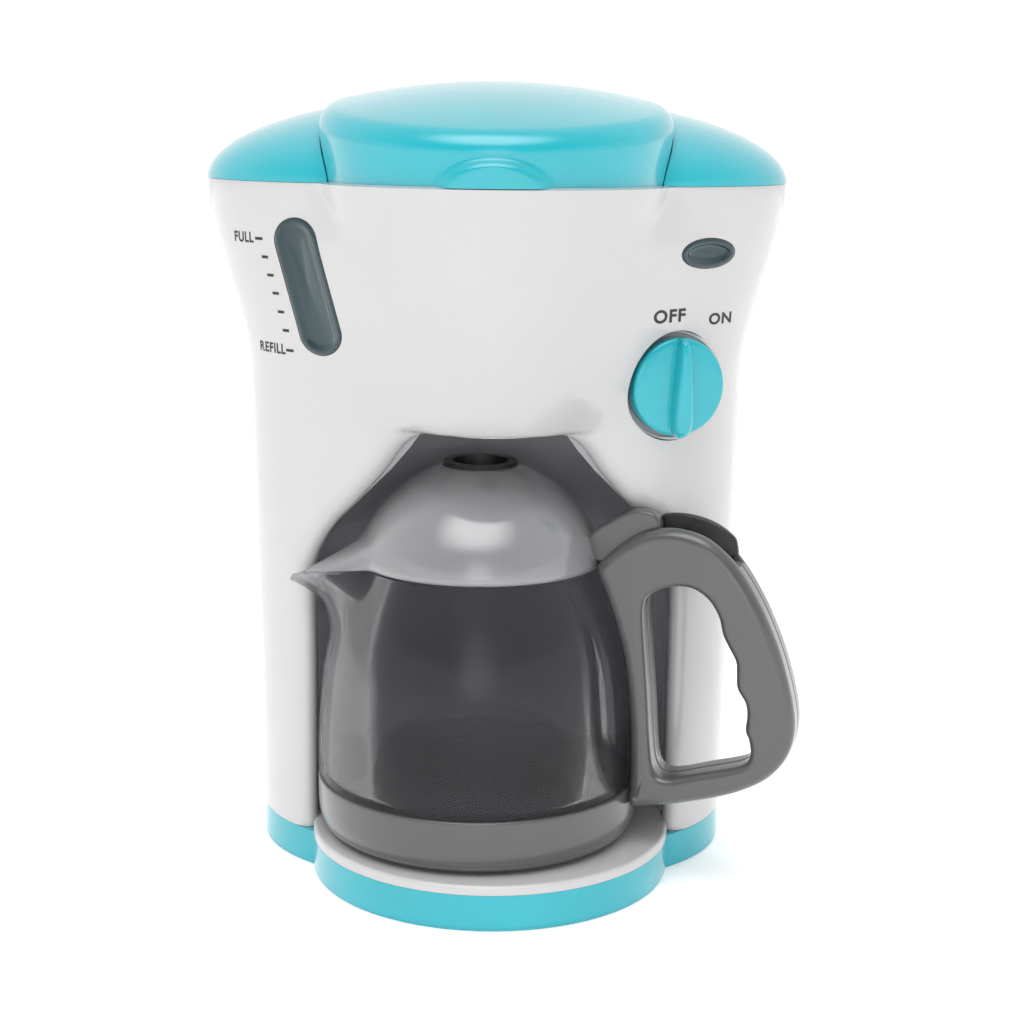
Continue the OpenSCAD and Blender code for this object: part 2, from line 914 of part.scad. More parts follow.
// Three straight lengths of tube. Each turn is a square elbow, drilled through from both sides.
module tube_path(r, over) {
    start = port + outlet_dir * (outlet_l + 0.05 - over);
    foot = [0, -cave_y, tube_foot_z - over];
    run = (drop - bend) / norm(drop - bend);
    rod(start, bend + outlet_dir * over, r);
    rod(bend - run * over, drop + run * over, r);
    rod(foot, drop + [0, 0, over], r);
}

module drip_tube() {
    color("#c9d4d6")
        difference() {
            union() {
                tube_path(tube_r, 0);
                for (p = [bend, drop])
                    translate(p - [0, 0, tube_r + 0.7])
                        cylinder(r = tube_r + 0.7, h = 2 * tube_r + 1.4, $fn = 32);
            }
            tube_path(port_r - 0.1, 1);
        }
}

module drip_nozzle() {
    color(black)
        difference() {
            union() {
                translate([0, -cave_y, funnel_foot_z + wall + 0.05])
                    cylinder(r = 7, h = tube_foot_z - funnel_foot_z - wall - 0.1, $fn = 48);
                translate([0, -cave_y, funnel_foot_z - 1])
                    cylinder(r1 = 3.6, r2 = 4.5, h = wall + 1.5, $fn = 48);
            }
            translate([0, -cave_y, funnel_foot_z - 5])
                cylinder(r = port_r - 0.1, h = 30, $fn = 32);
        }
}

// ---------------------------------------------------------------- knob

module knob() {
    color(turquoise)
        difference() {
            on_knob_axis(0) {
                translate([0, 0, 0.5])
                    rotate_extrude()
                        polygon([
                            [0, 0], [knob_r - 0.4, 0], [knob_r, 0.5], [knob_r, knob_t - 2.2],
                            [knob_r - 0.8, knob_t - 0.9], [knob_r - 2.6, knob_t - 0.3], [0, knob_t]
                        ]);
                grip();
                translate([0, 0, -6])
                    cylinder(r = stem_r, h = 8);
            }
            on_knob_axis(12)
                cylinder(r = screw_r, h = 14, $fn = 24);
        }
}

// The bar that the fingers turn: narrow at the pointer end and widest below the middle.
module grip() {
    bar = [
        [-1.2, knob_r - 0.2], [1.2, knob_r - 0.2], [grip_w / 2 - 0.6, 4], [grip_w / 2, -4],
        [grip_w / 2 - 0.5, -knob_r + 1], [0, -knob_r - 0.5], [-grip_w / 2 + 0.5, -knob_r + 1],
        [-grip_w / 2, -4], [-grip_w / 2 + 0.6, 4]
    ];
    translate([0, 0, 1])
        linear_extrude(knob_t + grip_h - 2)
            polygon(bar);
    translate([0, 0, knob_t + grip_h - 1 - eps])
        linear_extrude(1.2)
            offset(delta = -0.9)
                polygon(bar);
}

// Plug of the valve on the knob's stem. A crooked bore joins inlet and outlet when it is turned on.
module valve_rotor() {
    color("#ececec")
        difference() {
            union() {
                on_knob_axis(seat_t + valve_l)
                    cylinder(r = plug_r, h = valve_l - 0.4);
                on_knob_axis(seat_t + valve_l + 4)
                    cylinder(r = plug_r - 1, h = 5);
                on_knob_axis(seat_t + valve_l + 4)
                    rotate([0, 0, 225])
                        translate([-1.6, 0, 0])
                            cube([3.2, plug_r + 0.9, 3.4]);
            }
            on_knob_axis(6.1)
                cylinder(r = stem_r + 0.03, h = 10);
            on_knob_axis(60)
                cylinder(r = screw_r + fit, h = 60, $fn = 24);
            on_knob_axis(seat_t + valve_l + 14)
                cylinder(r = head_r + 0.2, h = 13, $fn = 32);
            on_knob_axis(port_t)
                for (a = [45, 135])
                    rotate([0, 0, a])
                        rotate([-90, 0, 0])
                            cylinder(r = port_r - 0.3, h = 20, $fn = 32);
        }
}

module knob_screw() {
    color(steel)
        on_knob_axis(seat_t + valve_l + 1)
            screw(valve_l - 6);
}

// ---------------------------------------------------------------- window, lens and electrics

module sight_window() {
    color([0.3, 0.42, 0.44, 0.7]) {
        intersection() {
            slot_prism(window_r - 0.15);
            difference() {
                half_form(true, 0.4, window_z - 30, window_z + 30);
                half_form(true, wall + 0.12, window_z - 31, window_z + 31);
            }
        }
        intersection() {
            slot_prism(window_r + 1.6);
            difference() {
                half_form(true, wall + 0.12, window_z - 30, window_z + 30);
                half_form(true, wall + 1.4, window_z - 31, window_z + 31);
            }
        }
    }
}

module indicator_lens() {
    color([0.3, 0.42, 0.44, 0.7]) {
        intersection() {
            oval_prism(-0.15);
            difference() {
                half_form(true, -0.5, lens_z - 16, lens_z + 16);
                half_form(true, wall + 0.12, lens_z - 17, lens_z + 17);
            }
        }
        intersection() {
            oval_prism(1.5);
            difference() {
                half_form(true, wall + 0.12, lens_z - 15, lens_z + 15);
                half_form(true, wall + 1.4, lens_z - 17, lens_z + 17);
            }
        }
    }
}

led_x = 62.5;
led_r = 2.5;

module indicator_led() {
    color("#c33a2c")
        translate([led_x, -board_y - 1.65, lens_z])
            rotate([90, 0, 0]) {
                cylinder(r = led_r, h = 5, $fn = 32);
                translate([0, 0, 5])
                    sphere(r = led_r, $fn = 32);
                cylinder(r = led_r + 0.4, h = 1, $fn = 32);
            }
}

module circuit_board() {
    color("#2f6b3c")
        difference() {
            translate([board_x0, -board_y - 1.6, board_z0])
                cube([board_x1 - board_x0, 1.6, board_z1 - board_z0]);
            board_posts(screw_r + fit, board_y - 5, board_y + 5);
        }
}

module board_screws() {
    color(steel)
        for (p = board_hole)
            translate([p[0], -board_y, p[1]])
                rotate([90, 0, 0])
                    screw(7);
}

// Leaf switch on the end of the valve: the plug's cam presses the leaf when the valve is open.
module leaf_switch() {
    on_knob_axis(seat_t + valve_l + 5.6) {
        color(black)
            translate([-3.9, -plug_r - 5.4, 0])
                cube([8, 3.6, 5.5]);
        color(steel)
            difference() {
                translate([-4.3, -plug_r - 4.4, 0.3])
                    cube([8, 3.2, 4.8]);
                translate([-4, -plug_r - 4.5, 0])
                    cube([9, 3, 6]);
            }
    }
}

// ---------------------------------------------------------------- fasteners of the housing

module housing_screws() {
    color(steel)
        at_housing_screws()
            translate([0, housing_screw_seat, 0])
                rotate([90, 0, 0])
                    screw(18);
}

module tray_screws() {
    color(steel)
        at_tray_screws()
            translate([0, 0, tray_screw_seat])
                screw(18);
}

// ---------------------------------------------------------------- jug

jug_floor = deck_z + play;
band_top = jug_floor + band_h;
glass_r = band_r - 2.3;

// Outer profile of the clear jug, from the top of the band to its rim: each pair is a part of
// the way up and a part of the way from the rim's radius out to the band's.
jug_curve = [
    [0, 1], [0.1, 1], [0.22, 0.985], [0.4, 0.94], [0.57, 0.83],
    [0.69, 0.7], [0.81, 0.48], [0.91, 0.24], [1, 0]
];
jug_outline = [
    for (p = jug_curve)
        [rim_r + (band_r - 0.1 - rim_r) * p[1], band_top + (rim_z - band_top) * p[0]]
];

// Outer radius of the jug at height z.
function jug_r_at(z) = lookup(z, [for (p = jug_outline) [p[1], p[0]]]);

module at_jug() {
    translate([jug_x, -jug_y, 0])
        children();
}

module jug_solid(inset) {
    rotate_extrude()
        polygon(concat(
            [[0, jug_floor + 2.45 + inset], [glass_r - inset, jug_floor + 2.45 + inset]],
            [[glass_r - inset, band_top + 0.1 + inset]],
            [
                for (k = [inset > 0 ? 1 : 0 : len(jug_outline) - 1])
                    [jug_outline[k][0] - inset, jug_outline[k][1] + 0.1]
            ],
            [[rim_r - inset, rim_z + inset + 0.1], [0, rim_z + inset + 0.1]]
        ));
}

// Pouring lip: a keel under a flat V that runs out to a point.
module spout_form(inset, up) {
    rotate([0, 0, spout_turn])
        hull() {
        translate([-spout_reach + inset * 3, 0, rim_z - 2.4])
            cylinder(r = 0.5, h = 2.4 + up, $fn = 16);
        for (s = [-1, 1])
            translate([-rim_r * 0.84, s * (rim_r * 0.4 - inset), rim_z - 3])
                cylinder(r = 0.5, h = 3 + up, $fn = 16);
        translate([-jug_r_at(rim_z - 24) + 1 + inset, 0, rim_z - 24 + inset * 2])
            sphere(r = 1.5, $fn = 16);
    }
}

module jug_body() {
    color(smoke) {
        at_jug()
            difference() {
                union() {
                    jug_solid(0);
                    spout_form(0, -0.4);
                }
                jug_solid(jug_wall);
                spout_form(jug_wall, 3);
            }
        at_lugs(0);
    }
}

module jug_band() {
    color(handle_grey)
        at_jug()
            difference() {
                rotate_extrude()
                    polygon([
                        [0, jug_floor], [band_r - 4.4, jug_floor], [band_r - 2, jug_floor + 1.6],
                        [band_r - 0.5, jug_floor + 4], [band_r, jug_floor + 7], [band_r, band_top],
                        [0, band_top]
                    ]);
                translate([0, 0, jug_floor + 2.4])
                    cylinder(r = glass_r + 0.05, h = band_h);
            }
}

// Side view of the handle: distance from the jug's axis, and height.
handle_outline = [
    [37.7, 27.9], [54.7, 27.9], [66.3, 29.6], [80.2, 33.4], [89.2, 37], [96.8, 41.9],
    [102.1, 49], [104.1, 57.3], [103.2, 66.5],
    [100, 78.3], [96.3, 87.9], [92, 96.7], [86.9, 105], [81.5, 112], [73.7, 117.3],
    [64.2, 119], [56.6, 117.5], [49.3, 113.6], [40.7, 107.2], [34.7, 102]
];
grip_hole = [
    [60.2, 41], [64.7, 38.4], [76.7, 41.6], [88.7, 45.4], [90.9, 49], [90.1, 53.6],
    [89.6, 61.5], [86.3, 70], [85.4, 78.4], [81.5, 86.2], [79.1, 93], [74.2, 98.8],
    [68.3, 100.8], [58.7, 97.2], [55.1, 92.4], [57.3, 66]
];

module at_handle() {
    at_jug()
        rotate([0, 0, -handle_turn])
            children();
}

// One half of the handle, with its rounded outer edge built up in three steps.
module handle_half(side) {
    half = handle_t / 2;
    steps = [[0.05, half - 2.4, 0], [half - 2.4, half - 0.8, -0.8], [half - 0.8, half, -2.2]];
    difference() {
        at_handle()
            rotate([90, 0, 0])
                for (s = steps)
                    translate([0, 0, side > 0 ? s[0] : -s[1]])
                        linear_extrude(s[1] - s[0])
                            difference() {
                                offset(delta = s[2])
                                    polygon(curve(handle_outline, 4));
                                offset(delta = -s[2])
                                    polygon(curve(grip_hole, 4));
                            }
        at_jug()
            rotate_extrude()
                polygon(concat(
                    [[0, 0], [band_r + 0.1, 0], [band_r + 0.1, band_top + 0.1]],
                    [for (p = jug_outline) [p[0] + 0.1, p[1] + 0.1]],
                    [[rim_r + 0.6, rim_z + 0.1], [rim_r + 0.6, rim_z + 30], [0, rim_z + 30]]
                ));
        lever_space(0.3);
        at_lugs(0.1);
        jug_hinge(jug_pin_r, handle_t);
        at_handle_screws()
            cylinder(r = screw_r + fit, h = handle_t, center = true, $fn = 24);
    }
}

// Lugs of the clear jug that the two halves of the handle close on.
module at_lugs(grow) {
    at_handle()
        for (z = [44, 84])
            translate([jug_r_at(z) - 1, -3 - grow, z - 4 - grow])
                cube([4.2 + grow, 6 + 2 * grow, 8 + 2 * grow]);
}

jug_pin_r = 1.4;
jug_hinge_u = 48;
jug_hinge_z = rim_z + 6.5;
lever_w = 5.8;

module jug_hinge(r, width) {
    at_handle()
        translate([jug_hinge_u, 0, jug_hinge_z])
            rotate([90, 0, 0])
                cylinder(r = r, h = width, center = true, $fn = 32);
}

// Room between the handle's halves for the lever of the jug's lid.
module lever_space(grow) {
    at_handle()
        translate([rim_r - 4, -lever_w / 2 - grow, rim_z - 0.5])
            cube([34, lever_w + 2 * grow, 40]);
}

handle_screw_at = [[76, 104], [72, 35.2], [96, 62]];

module at_handle_screws() {
    at_handle()
        for (p = handle_screw_at)
            translate([p[0], 0, p[1]])
                rotate([90, 0, 0])
                    children();
}

module handle_near_half() {
    color(handle_grey)
        handle_half(1);
}

module handle_far_half() {
    color(handle_grey)
        difference() {
            handle_half(-1);
            at_handle_screws()
                translate([0, 0, -handle_t])
                    cylinder(r = head_r + 0.3, h = handle_t - 4.5, $fn = 32);
        }
}

module handle_screws() {
    color(steel)
        at_handle_screws()
            translate([0, 0, -4.5])
                screw(9);
}

module jug_hinge_pin() {
    color(steel)
        jug_hinge(jug_pin_r, handle_t - 3);
}

// Dome, beak and lever of the jug's lid, which turn together on the pin in the handle.
dome_side = [
    for (k = [0 : 8])
        let (u = cos(90 * k / 8))
            [drip_r + (rim_r + 0.4 - drip_r) * u, rim_z + 0.4 + dome_h * pow(1 - pow(u, 1.4), 0.57)]
];

module jug_lid() {
    color(smoke)
        difference() {
            union() {
                at_jug()
                    rotate_extrude()
                        polygon(concat([[0, rim_z + 0.35]], dome_side, [[0, rim_z + 0.4 + dome_h]]));
                at_jug()
                    rotate([0, 0, spout_turn])
        hull() {
                        for (s = [-1, 1])
                            translate([-rim_r * 0.84, s * rim_r * 0.38, rim_z + 0.4])
                                cylinder(r = 0.5, h = 5, $fn = 16);
                        translate([-spout_reach + 4, 0, rim_z + 0.4])
                            cylinder(r = 0.5, h = 1.4, $fn = 16);
                        translate([-rim_r * 0.9, 0, rim_z + 10])
                            sphere(r = 1, $fn = 16);
                    }
            }
            at_jug()
                rotate_extrude()
                    polygon(concat(
                        [[0, rim_z]],
                        [for (p = dome_side) [p[0] - jug_wall, p[1] - jug_wall]],
                        [[0, rim_z + 0.4 + dome_h - jug_wall]]
                    ));
            at_jug()
                translate([0, 0, rim_z + 10])
                    cylinder(r = drip_r - 1.5, h = 40);
        }
}

// Thumb lever: it grips the lid's edge, lies in the slot of the handle and stands up where the
// thumb presses.
module thumb_lever() {
    color(handle_grey)
        difference() {
            at_handle()
                rotate([90, 0, 0])
                    linear_extrude(lever_w, center = true)
                        polygon([
                            [rim_r - 9, rim_z + 3.5], [jug_hinge_u - 3.6, rim_z + 2.5],
                            [jug_hinge_u + 3.6, rim_z + 4.2],
                            [jug_hinge_u + 12, rim_z + 14.5], [jug_hinge_u + 8.5, rim_z + 20.5],
                            [jug_hinge_u + 1, rim_z + 20.5], [rim_r - 5, rim_z + 12]
                        ]);
            at_jug()
                rotate_extrude()
                    polygon(concat(
                        [[0, rim_z], [dome_side[0][0] + 0.1, rim_z]],
                        [for (p = dome_side) [p[0] + 0.1, p[1] + 0.1]],
                        [[0, rim_z + 0.5 + dome_h]]
                    ));
            jug_hinge(jug_pin_r + run_gap, handle_t);
        }
}

module drip_insert() {
    color(black)
        at_jug()
            rotate_extrude($fn = 64)
                polygon([
                    [3.5, rim_z + dome_h - 7], [drip_r - 1.6, rim_z + dome_h - 5],
                    [drip_r - 1.6, rim_z + dome_h + 0.45],
                    [drip_r + 0.6, rim_z + dome_h + 0.45], [drip_r + 0.2, rim_z + dome_h + 1.6],
                    [drip_r - 2.4, rim_z + dome_h + 1.6], [drip_r - 3.2, rim_z + dome_h - 4],
                    [3.5, rim_z + dome_h - 5.6]
                ]);
}

base_tray();
battery_box();
batteries();
battery_contacts();
battery_door();
battery_door_screw();
front_housing();
rear_cover();
cave_liner();
top_cover();
lid();
lid_hinge_pin();
water_tank();
tank_seal();
valve_body();
drip_tube();
drip_nozzle();
knob();
valve_rotor();
knob_screw();
sight_window();
indicator_lens();
indicator_led();
circuit_board();
leaf_switch();
board_screws();
housing_screws();
tray_screws();
jug_body();
jug_band();
handle_near_half();
handle_far_half();
handle_screws();
jug_hinge_pin();
jug_lid();
thumb_lever();
drip_insert();
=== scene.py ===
import math
import bmesh
import bpy
import numpy as np
from mathutils import Matrix, Vector


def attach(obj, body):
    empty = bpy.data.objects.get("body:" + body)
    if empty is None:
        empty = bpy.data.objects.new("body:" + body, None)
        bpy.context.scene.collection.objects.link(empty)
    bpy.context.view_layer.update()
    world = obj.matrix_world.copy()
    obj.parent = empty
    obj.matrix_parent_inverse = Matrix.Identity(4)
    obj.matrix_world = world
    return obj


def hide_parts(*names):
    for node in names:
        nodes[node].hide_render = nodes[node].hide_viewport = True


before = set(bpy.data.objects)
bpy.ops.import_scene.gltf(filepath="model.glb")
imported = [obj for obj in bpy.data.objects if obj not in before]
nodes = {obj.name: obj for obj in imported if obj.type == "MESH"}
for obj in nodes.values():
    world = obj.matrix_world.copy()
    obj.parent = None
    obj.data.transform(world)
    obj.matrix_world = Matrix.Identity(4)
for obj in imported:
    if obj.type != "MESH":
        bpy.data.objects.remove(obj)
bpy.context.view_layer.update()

# ---------------------------------------------------------------- camera, floor and light
# A photographer's white table: one long lens a little above the toy, soft lamps over the front, on
# the left and straight ahead, and a white room, dimmer behind the camera, whose soft panels are
# what the gloss reflects. The paper glows a little, as on a lit table.
picture_px = 1024
focal_px = 1908
camera_place = (0.006, -0.631, 0.240)
camera_dip = 11.5
camera_roll = 0.65
lens = bpy.data.cameras.new("lens")
lens.sensor_width = 36.0
lens.lens = lens.sensor_width * focal_px / picture_px
lens.clip_start = 0.01
camera = bpy.data.objects.new("camera", lens)
bpy.context.scene.collection.objects.link(camera)
camera.matrix_world = (
    Matrix.Translation(camera_place)
    @ Matrix.Rotation(math.radians(90 - camera_dip), 4, "X")
    @ Matrix.Rotation(math.radians(camera_roll), 4, "Z")
)
bpy.context.scene.camera = camera
bpy.context.scene.view_settings.view_transform = "Standard"


def soft_light(name, place, aim, width, height, power):
    """A lamp that lights the toy and isn't seen in its gloss. Metres and watts."""
    lamp = bpy.data.lights.new(name, "AREA")
    lamp.shape = "RECTANGLE"
    lamp.size = width
    lamp.size_y = height
    lamp.energy = power
    holder = bpy.data.objects.new(name, lamp)
    bpy.context.scene.collection.objects.link(holder)
    holder.location = place
    holder.rotation_euler = (Vector(aim) - Vector(place)).to_track_quat("-Z", "Y").to_euler()
    holder.visible_glossy = False


soft_light("light_key", (-0.05, -0.70, 0.98), (0, -0.02, 0.13), 0.8, 0.8, 1.0)
soft_light("light_left", (-0.95, -0.35, 0.35), (0, 0, 0.12), 0.3, 0.8, 0.25)
soft_light("light_front", (0.02, -1.6, 0.43), (0, 0, 0.12), 1.2, 0.8, 3.3)

room = bpy.data.worlds.new("white_room")
room.use_nodes = True
room.node_tree.nodes["Background"].inputs["Color"].default_value = (1, 1, 1, 1)
room_nodes = room.node_tree.nodes
room_links = room.node_tree.links


def room_range(value, start, stop, first, last, ease="LINEAR"):
    """Turns the span from start to stop into the span from first to last."""
    span = room_nodes.new("ShaderNodeMapRange")
    span.interpolation_type = ease
    for key, number in (("From Min", start), ("From Max", stop), ("To Min", first), ("To Max", last)):
        span.inputs[key].default_value = number
    room_links.new(value, span.inputs["Value"])
    return span.outputs["Result"]


def room_sum(one, other):
    """Adds two levels of light."""
    total = room_nodes.new("ShaderNodeMath")
    room_links.new(one, total.inputs[0])
    room_links.new(other, total.inputs[1])
    return total.outputs["Value"]


def room_panel(aim, wide, high, power):
    """A soft-edged panel in the room: its direction, half width, half height and power."""
    shift = room_nodes.new("ShaderNodeVectorMath")
    shift.operation = "SUBTRACT"
    shift.inputs[1].default_value = Vector(aim).normalized()
    squeeze = room_nodes.new("ShaderNodeVectorMath")
    squeeze.operation = "MULTIPLY"
    squeeze.inputs[1].default_value = (1 / wide, 1 / high, 1 / high)
    reach = room_nodes.new("ShaderNodeVectorMath")
    reach.operation = "LENGTH"
    room_links.new(facing, shift.inputs[0])
    room_links.new(shift.outputs["Vector"], squeeze.inputs[0])
    room_links.new(squeeze.outputs["Vector"], reach.inputs[0])
    return room_range(reach.outputs["Value"], 0.3, 1.0, power, 0.0, "SMOOTHSTEP")


facing = room_nodes.new("ShaderNodeTexCoord").outputs["Generated"]
split = room_nodes.new("ShaderNodeSeparateXYZ")
room_links.new(facing, split.inputs["Vector"])
horizon = room_range(split.outputs["Z"], 0.10, 0.30, 2.0, 0.0)
level = room_range(room_sum(horizon, split.outputs["Y"]), -0.7, 0.35, 0.2, 1.02)
level = room_sum(level, room_panel((-0.05, -0.42, 0.9), 0.66, 0.52, 3.8))
level = room_sum(level, room_panel((0.0, -0.97, 0.2), 0.3, 0.4, 1.2))
room_links.new(level, room_nodes["Background"].inputs["Strength"])
bpy.context.scene.world = room

paper = bpy.data.materials.new("white_paper")
paper.use_nodes = True
paper_skin = paper.node_tree.nodes["Principled BSDF"]
paper_skin.inputs["Base Color"].default_value = (0.93, 0.93, 0.93, 1)
paper_skin.inputs["Roughness"].default_value = 0.8
paper_skin.inputs["Emission Color"].default_value = (1, 1, 1, 1)
paper_skin.inputs["Emission Strength"].default_value = 0.28
paper_half = 3.0
corner_signs = [(-1, -1), (1, -1), (1, 1), (-1, 1)]
paper_corners = [(x * paper_half, y * paper_half, -0.0002) for x, y in corner_signs]
sheet_mesh = bpy.data.meshes.new("floor")
sheet_mesh.from_pydata(paper_corners, [], [(0, 1, 2, 3)])
sheet_mesh.materials.append(paper)
floor = bpy.data.objects.new("floor", sheet_mesh)
bpy.context.scene.collection.objects.link(floor)

# ---------------------------------------------------------------- tray
# The coloured foot of the toy: one tub moulded in glossy turquoise ABS. It stands on its rim and
# four screws from below hold the housing to it. The CAD tub keeps its shape and gets its plastic.
turquoise = (0.014, 0.385, 0.460)


def moulded(name, colour, gloss, coat=0.0, mottle=0.05, grain=0.00003, metal=0.0):
    """Moulded plastic: a faint drift of shade, uneven polish and the fine orange peel of a mould."""
    stuff = bpy.data.materials.new(name)
    stuff.use_nodes = True
    tree = stuff.node_tree
    skin = tree.nodes["Principled BSDF"]
    skin.inputs["Metallic"].default_value = metal
    skin.inputs["Coat Weight"].default_value = coat
    skin.inputs["Coat Roughness"].default_value = 0.06  # a lacquer-like top skin
    where = tree.nodes.new("ShaderNodeTexCoord")
    drift = tree.nodes.new("ShaderNodeTexNoise")
    drift.inputs["Scale"].default_value = 22.0
    drift.inputs["Detail"].default_value = 3.0
    tree.links.new(where.outputs["Object"], drift.inputs["Vector"])
    shade = tree.nodes.new("ShaderNodeValToRGB")
    low = [c * (1 - mottle) for c in colour]
    high = [min(1, c * (1 + mottle)) for c in colour]
    shade.color_ramp.elements[0].position = 0.3
    shade.color_ramp.elements[0].color = (*low, 1)
    shade.color_ramp.elements[1].position = 0.7
    shade.color_ramp.elements[1].color = (*high, 1)
    tree.links.new(drift.outputs["Fac"], shade.inputs["Fac"])
    tree.links.new(shade.outputs["Color"], skin.inputs["Base Color"])
    handling = tree.nodes.new("ShaderNodeTexNoise")
    handling.inputs["Scale"].default_value = 70.0
    handling.inputs["Detail"].default_value = 4.0
    tree.links.new(where.outputs["Object"], handling.inputs["Vector"])
    polish = tree.nodes.new("ShaderNodeMapRange")
    polish.inputs["To Min"].default_value = gloss * 0.8
    polish.inputs["To Max"].default_value = gloss * 1.25
    tree.links.new(handling.outputs["Fac"], polish.inputs["Value"])
    tree.links.new(polish.outputs["Result"], skin.inputs["Roughness"])
    if grain == 0:
        return stuff
    peel = tree.nodes.new("ShaderNodeTexNoise")
    peel.inputs["Scale"].default_value = 900.0
    peel.inputs["Detail"].default_value = 2.0
    tree.links.new(where.outputs["Object"], peel.inputs["Vector"])
    bump = tree.nodes.new("ShaderNodeBump")
    bump.inputs["Strength"].default_value = 0.35
    bump.inputs["Distance"].default_value = grain
    tree.links.new(peel.outputs["Fac"], bump.inputs["Height"])
    tree.links.new(bump.outputs["Normal"], skin.inputs["Normal"])
    return stuff


def finish_as(part, stuff):
    """Gives a CAD node its plastic and leaves its form alone."""
    part.data.materials.clear()
    part.data.materials.append(stuff)


def crisp(part, degrees=32):
    """Smooth shading, with a hard line wherever two faces meet at more than this angle."""
    work = bmesh.new()
    work.from_mesh(part.data)
    for face in work.faces:
        face.smooth = True
    for line in work.edges:
        line.smooth = len(line.link_faces) != 2 or line.calc_face_angle(0) < math.radians(degrees)
    work.to_mesh(part.data)
    work.free()


turquoise_plastic = moulded("turquoise_plastic", turquoise, 0.16, coat=0.5)
finish_as(nodes["base_tray"], turquoise_plastic)

# ---------------------------------------------------------------- front housing
# The white face of the toy: one ABS moulding with the funnel swelling out of it, the arched mouth
# of the cave rolled inward and a round deck in front. It is glossy and screwed on from behind.
white = (0.525, 0.518, 0.521)
seam = 222.0
waist = 157.0
tray_top = 11.6
foot_half = 78.2
waist_half = 81.2
seam_half = 93.5
funnel_foot = 147.5
funnel_foot_r = 24.0
funnel_spread = 33.5
funnel_y = 42.0
funnel_squash = 0.94
wing_depth = 0.72
mouth_roll = 9.0
wall = 2.4


def smooth(t):
    t = np.clip(t, 0, 1)
    return t * t * (3 - 2 * t)


def side_width(z):
    """Half width of the front at a height: nearly straight below the waist, flaring above it."""
    low = foot_half + (waist_half - foot_half) * np.clip(z - 11.5, 0, None) / 145.5
    high = waist_half + (seam_half - waist_half) * smooth((z - waist) / (seam - waist))
    return np.where(z < waist, low, high)


def funnel_radius(z):
    """Radius of the funnel that swells out of the front, at a height."""
    rise = np.clip((z - funnel_foot) / (seam - funnel_foot), 0, None)
    return funnel_foot_r + funnel_spread * rise**0.6


def ellipse_gap(x, y, a, b):
    """About how far a point lies outside an ellipse with the half axes a and b."""
    q = np.sqrt((x / a) ** 2 + (y / b) ** 2) + 1e-9
    return (q - 1) * q / (np.sqrt((x / a**2) ** 2 + (y / b**2) ** 2) + 1e-9)


def plan_gap(x, y, z):
    """How far a point at height z lies outside the smooth union of the wings and the funnel."""
    wings = ellipse_gap(x, y, side_width(z), side_width(z) * wing_depth)
    r = funnel_radius(z)
    bulge = ellipse_gap(x, y + funnel_y, r * funnel_squash, r)
    bulge = np.where(z < funnel_foot, 99.0, bulge)
    soft = 3 + 19 * smooth((seam - z) / 22) - 8 * smooth((165 - z) / 20)
    h = np.clip(soft - np.abs(wings - bulge), 0, None) / soft
    return np.minimum(wings, bulge) - h * h * soft / 4


def plan_point(turn, z):
    """Point of the front at an angle from straight ahead, in radians, and a height."""
    near, far = np.zeros_like(z), np.full_like(z, 120.0)
    for _ in range(36):
        mid = (near + far) / 2
        inside = plan_gap(mid * np.sin(turn), -mid * np.cos(turn), z) < 0
        near = np.where(inside, mid, near)
        far = np.where(inside, far, mid)
    return near * np.sin(turn), -near * np.cos(turn)


def turn_at(x, z):
    """Angle at which the front passes through x at height z."""
    low, high = np.full_like(x, -math.pi / 2), np.full_like(x, math.pi / 2)
    for _ in range(30):
        mid = (low + high) / 2
        px, _y = plan_point(mid, z)
        low = np.where(px < x, mid, low)
        high = np.where(px < x, high, mid)
    return (low + high) / 2


def front_y(x, z):
    """Depth of the front at x and a height."""
    x, z = np.asarray(x, float), np.asarray(z, float)
    return plan_point(turn_at(x, z), z)[1]


def between(a, b, c, d, t):
    """Point of a smooth curve at the share t of the way from b to c, with a before and d after."""
    return 0.5 * (2 * b + (c - a) * t + (2 * a - 5 * b + 4 * c - d) * t**2 + (3 * b - a - 3 * c + d) * t**3)


def spread(run, count, endpoint=True):
    """Points at even steps along a fine run of points."""
    length = np.concatenate([[0], np.cumsum(np.linalg.norm(np.diff(run, axis=0), axis=1))])
    at = np.linspace(0, length[-1], count, endpoint=endpoint)
    return np.column_stack([np.interp(at, length, run[:, k]) for k in range(run.shape[1])])


def along(points, count):
    """Evenly spaced points on a smooth curve through the given ones."""
    p = np.array(points, float)
    ext = np.vstack([2 * p[0] - p[1], p, 2 * p[-1] - p[-2]])
    fine = []
    for i in range(len(p) - 1):
        fine += [between(*ext[i : i + 4], t) for t in np.linspace(0, 1, 24, endpoint=False)]
    return spread(np.array(fine + [p[-1]]), count)


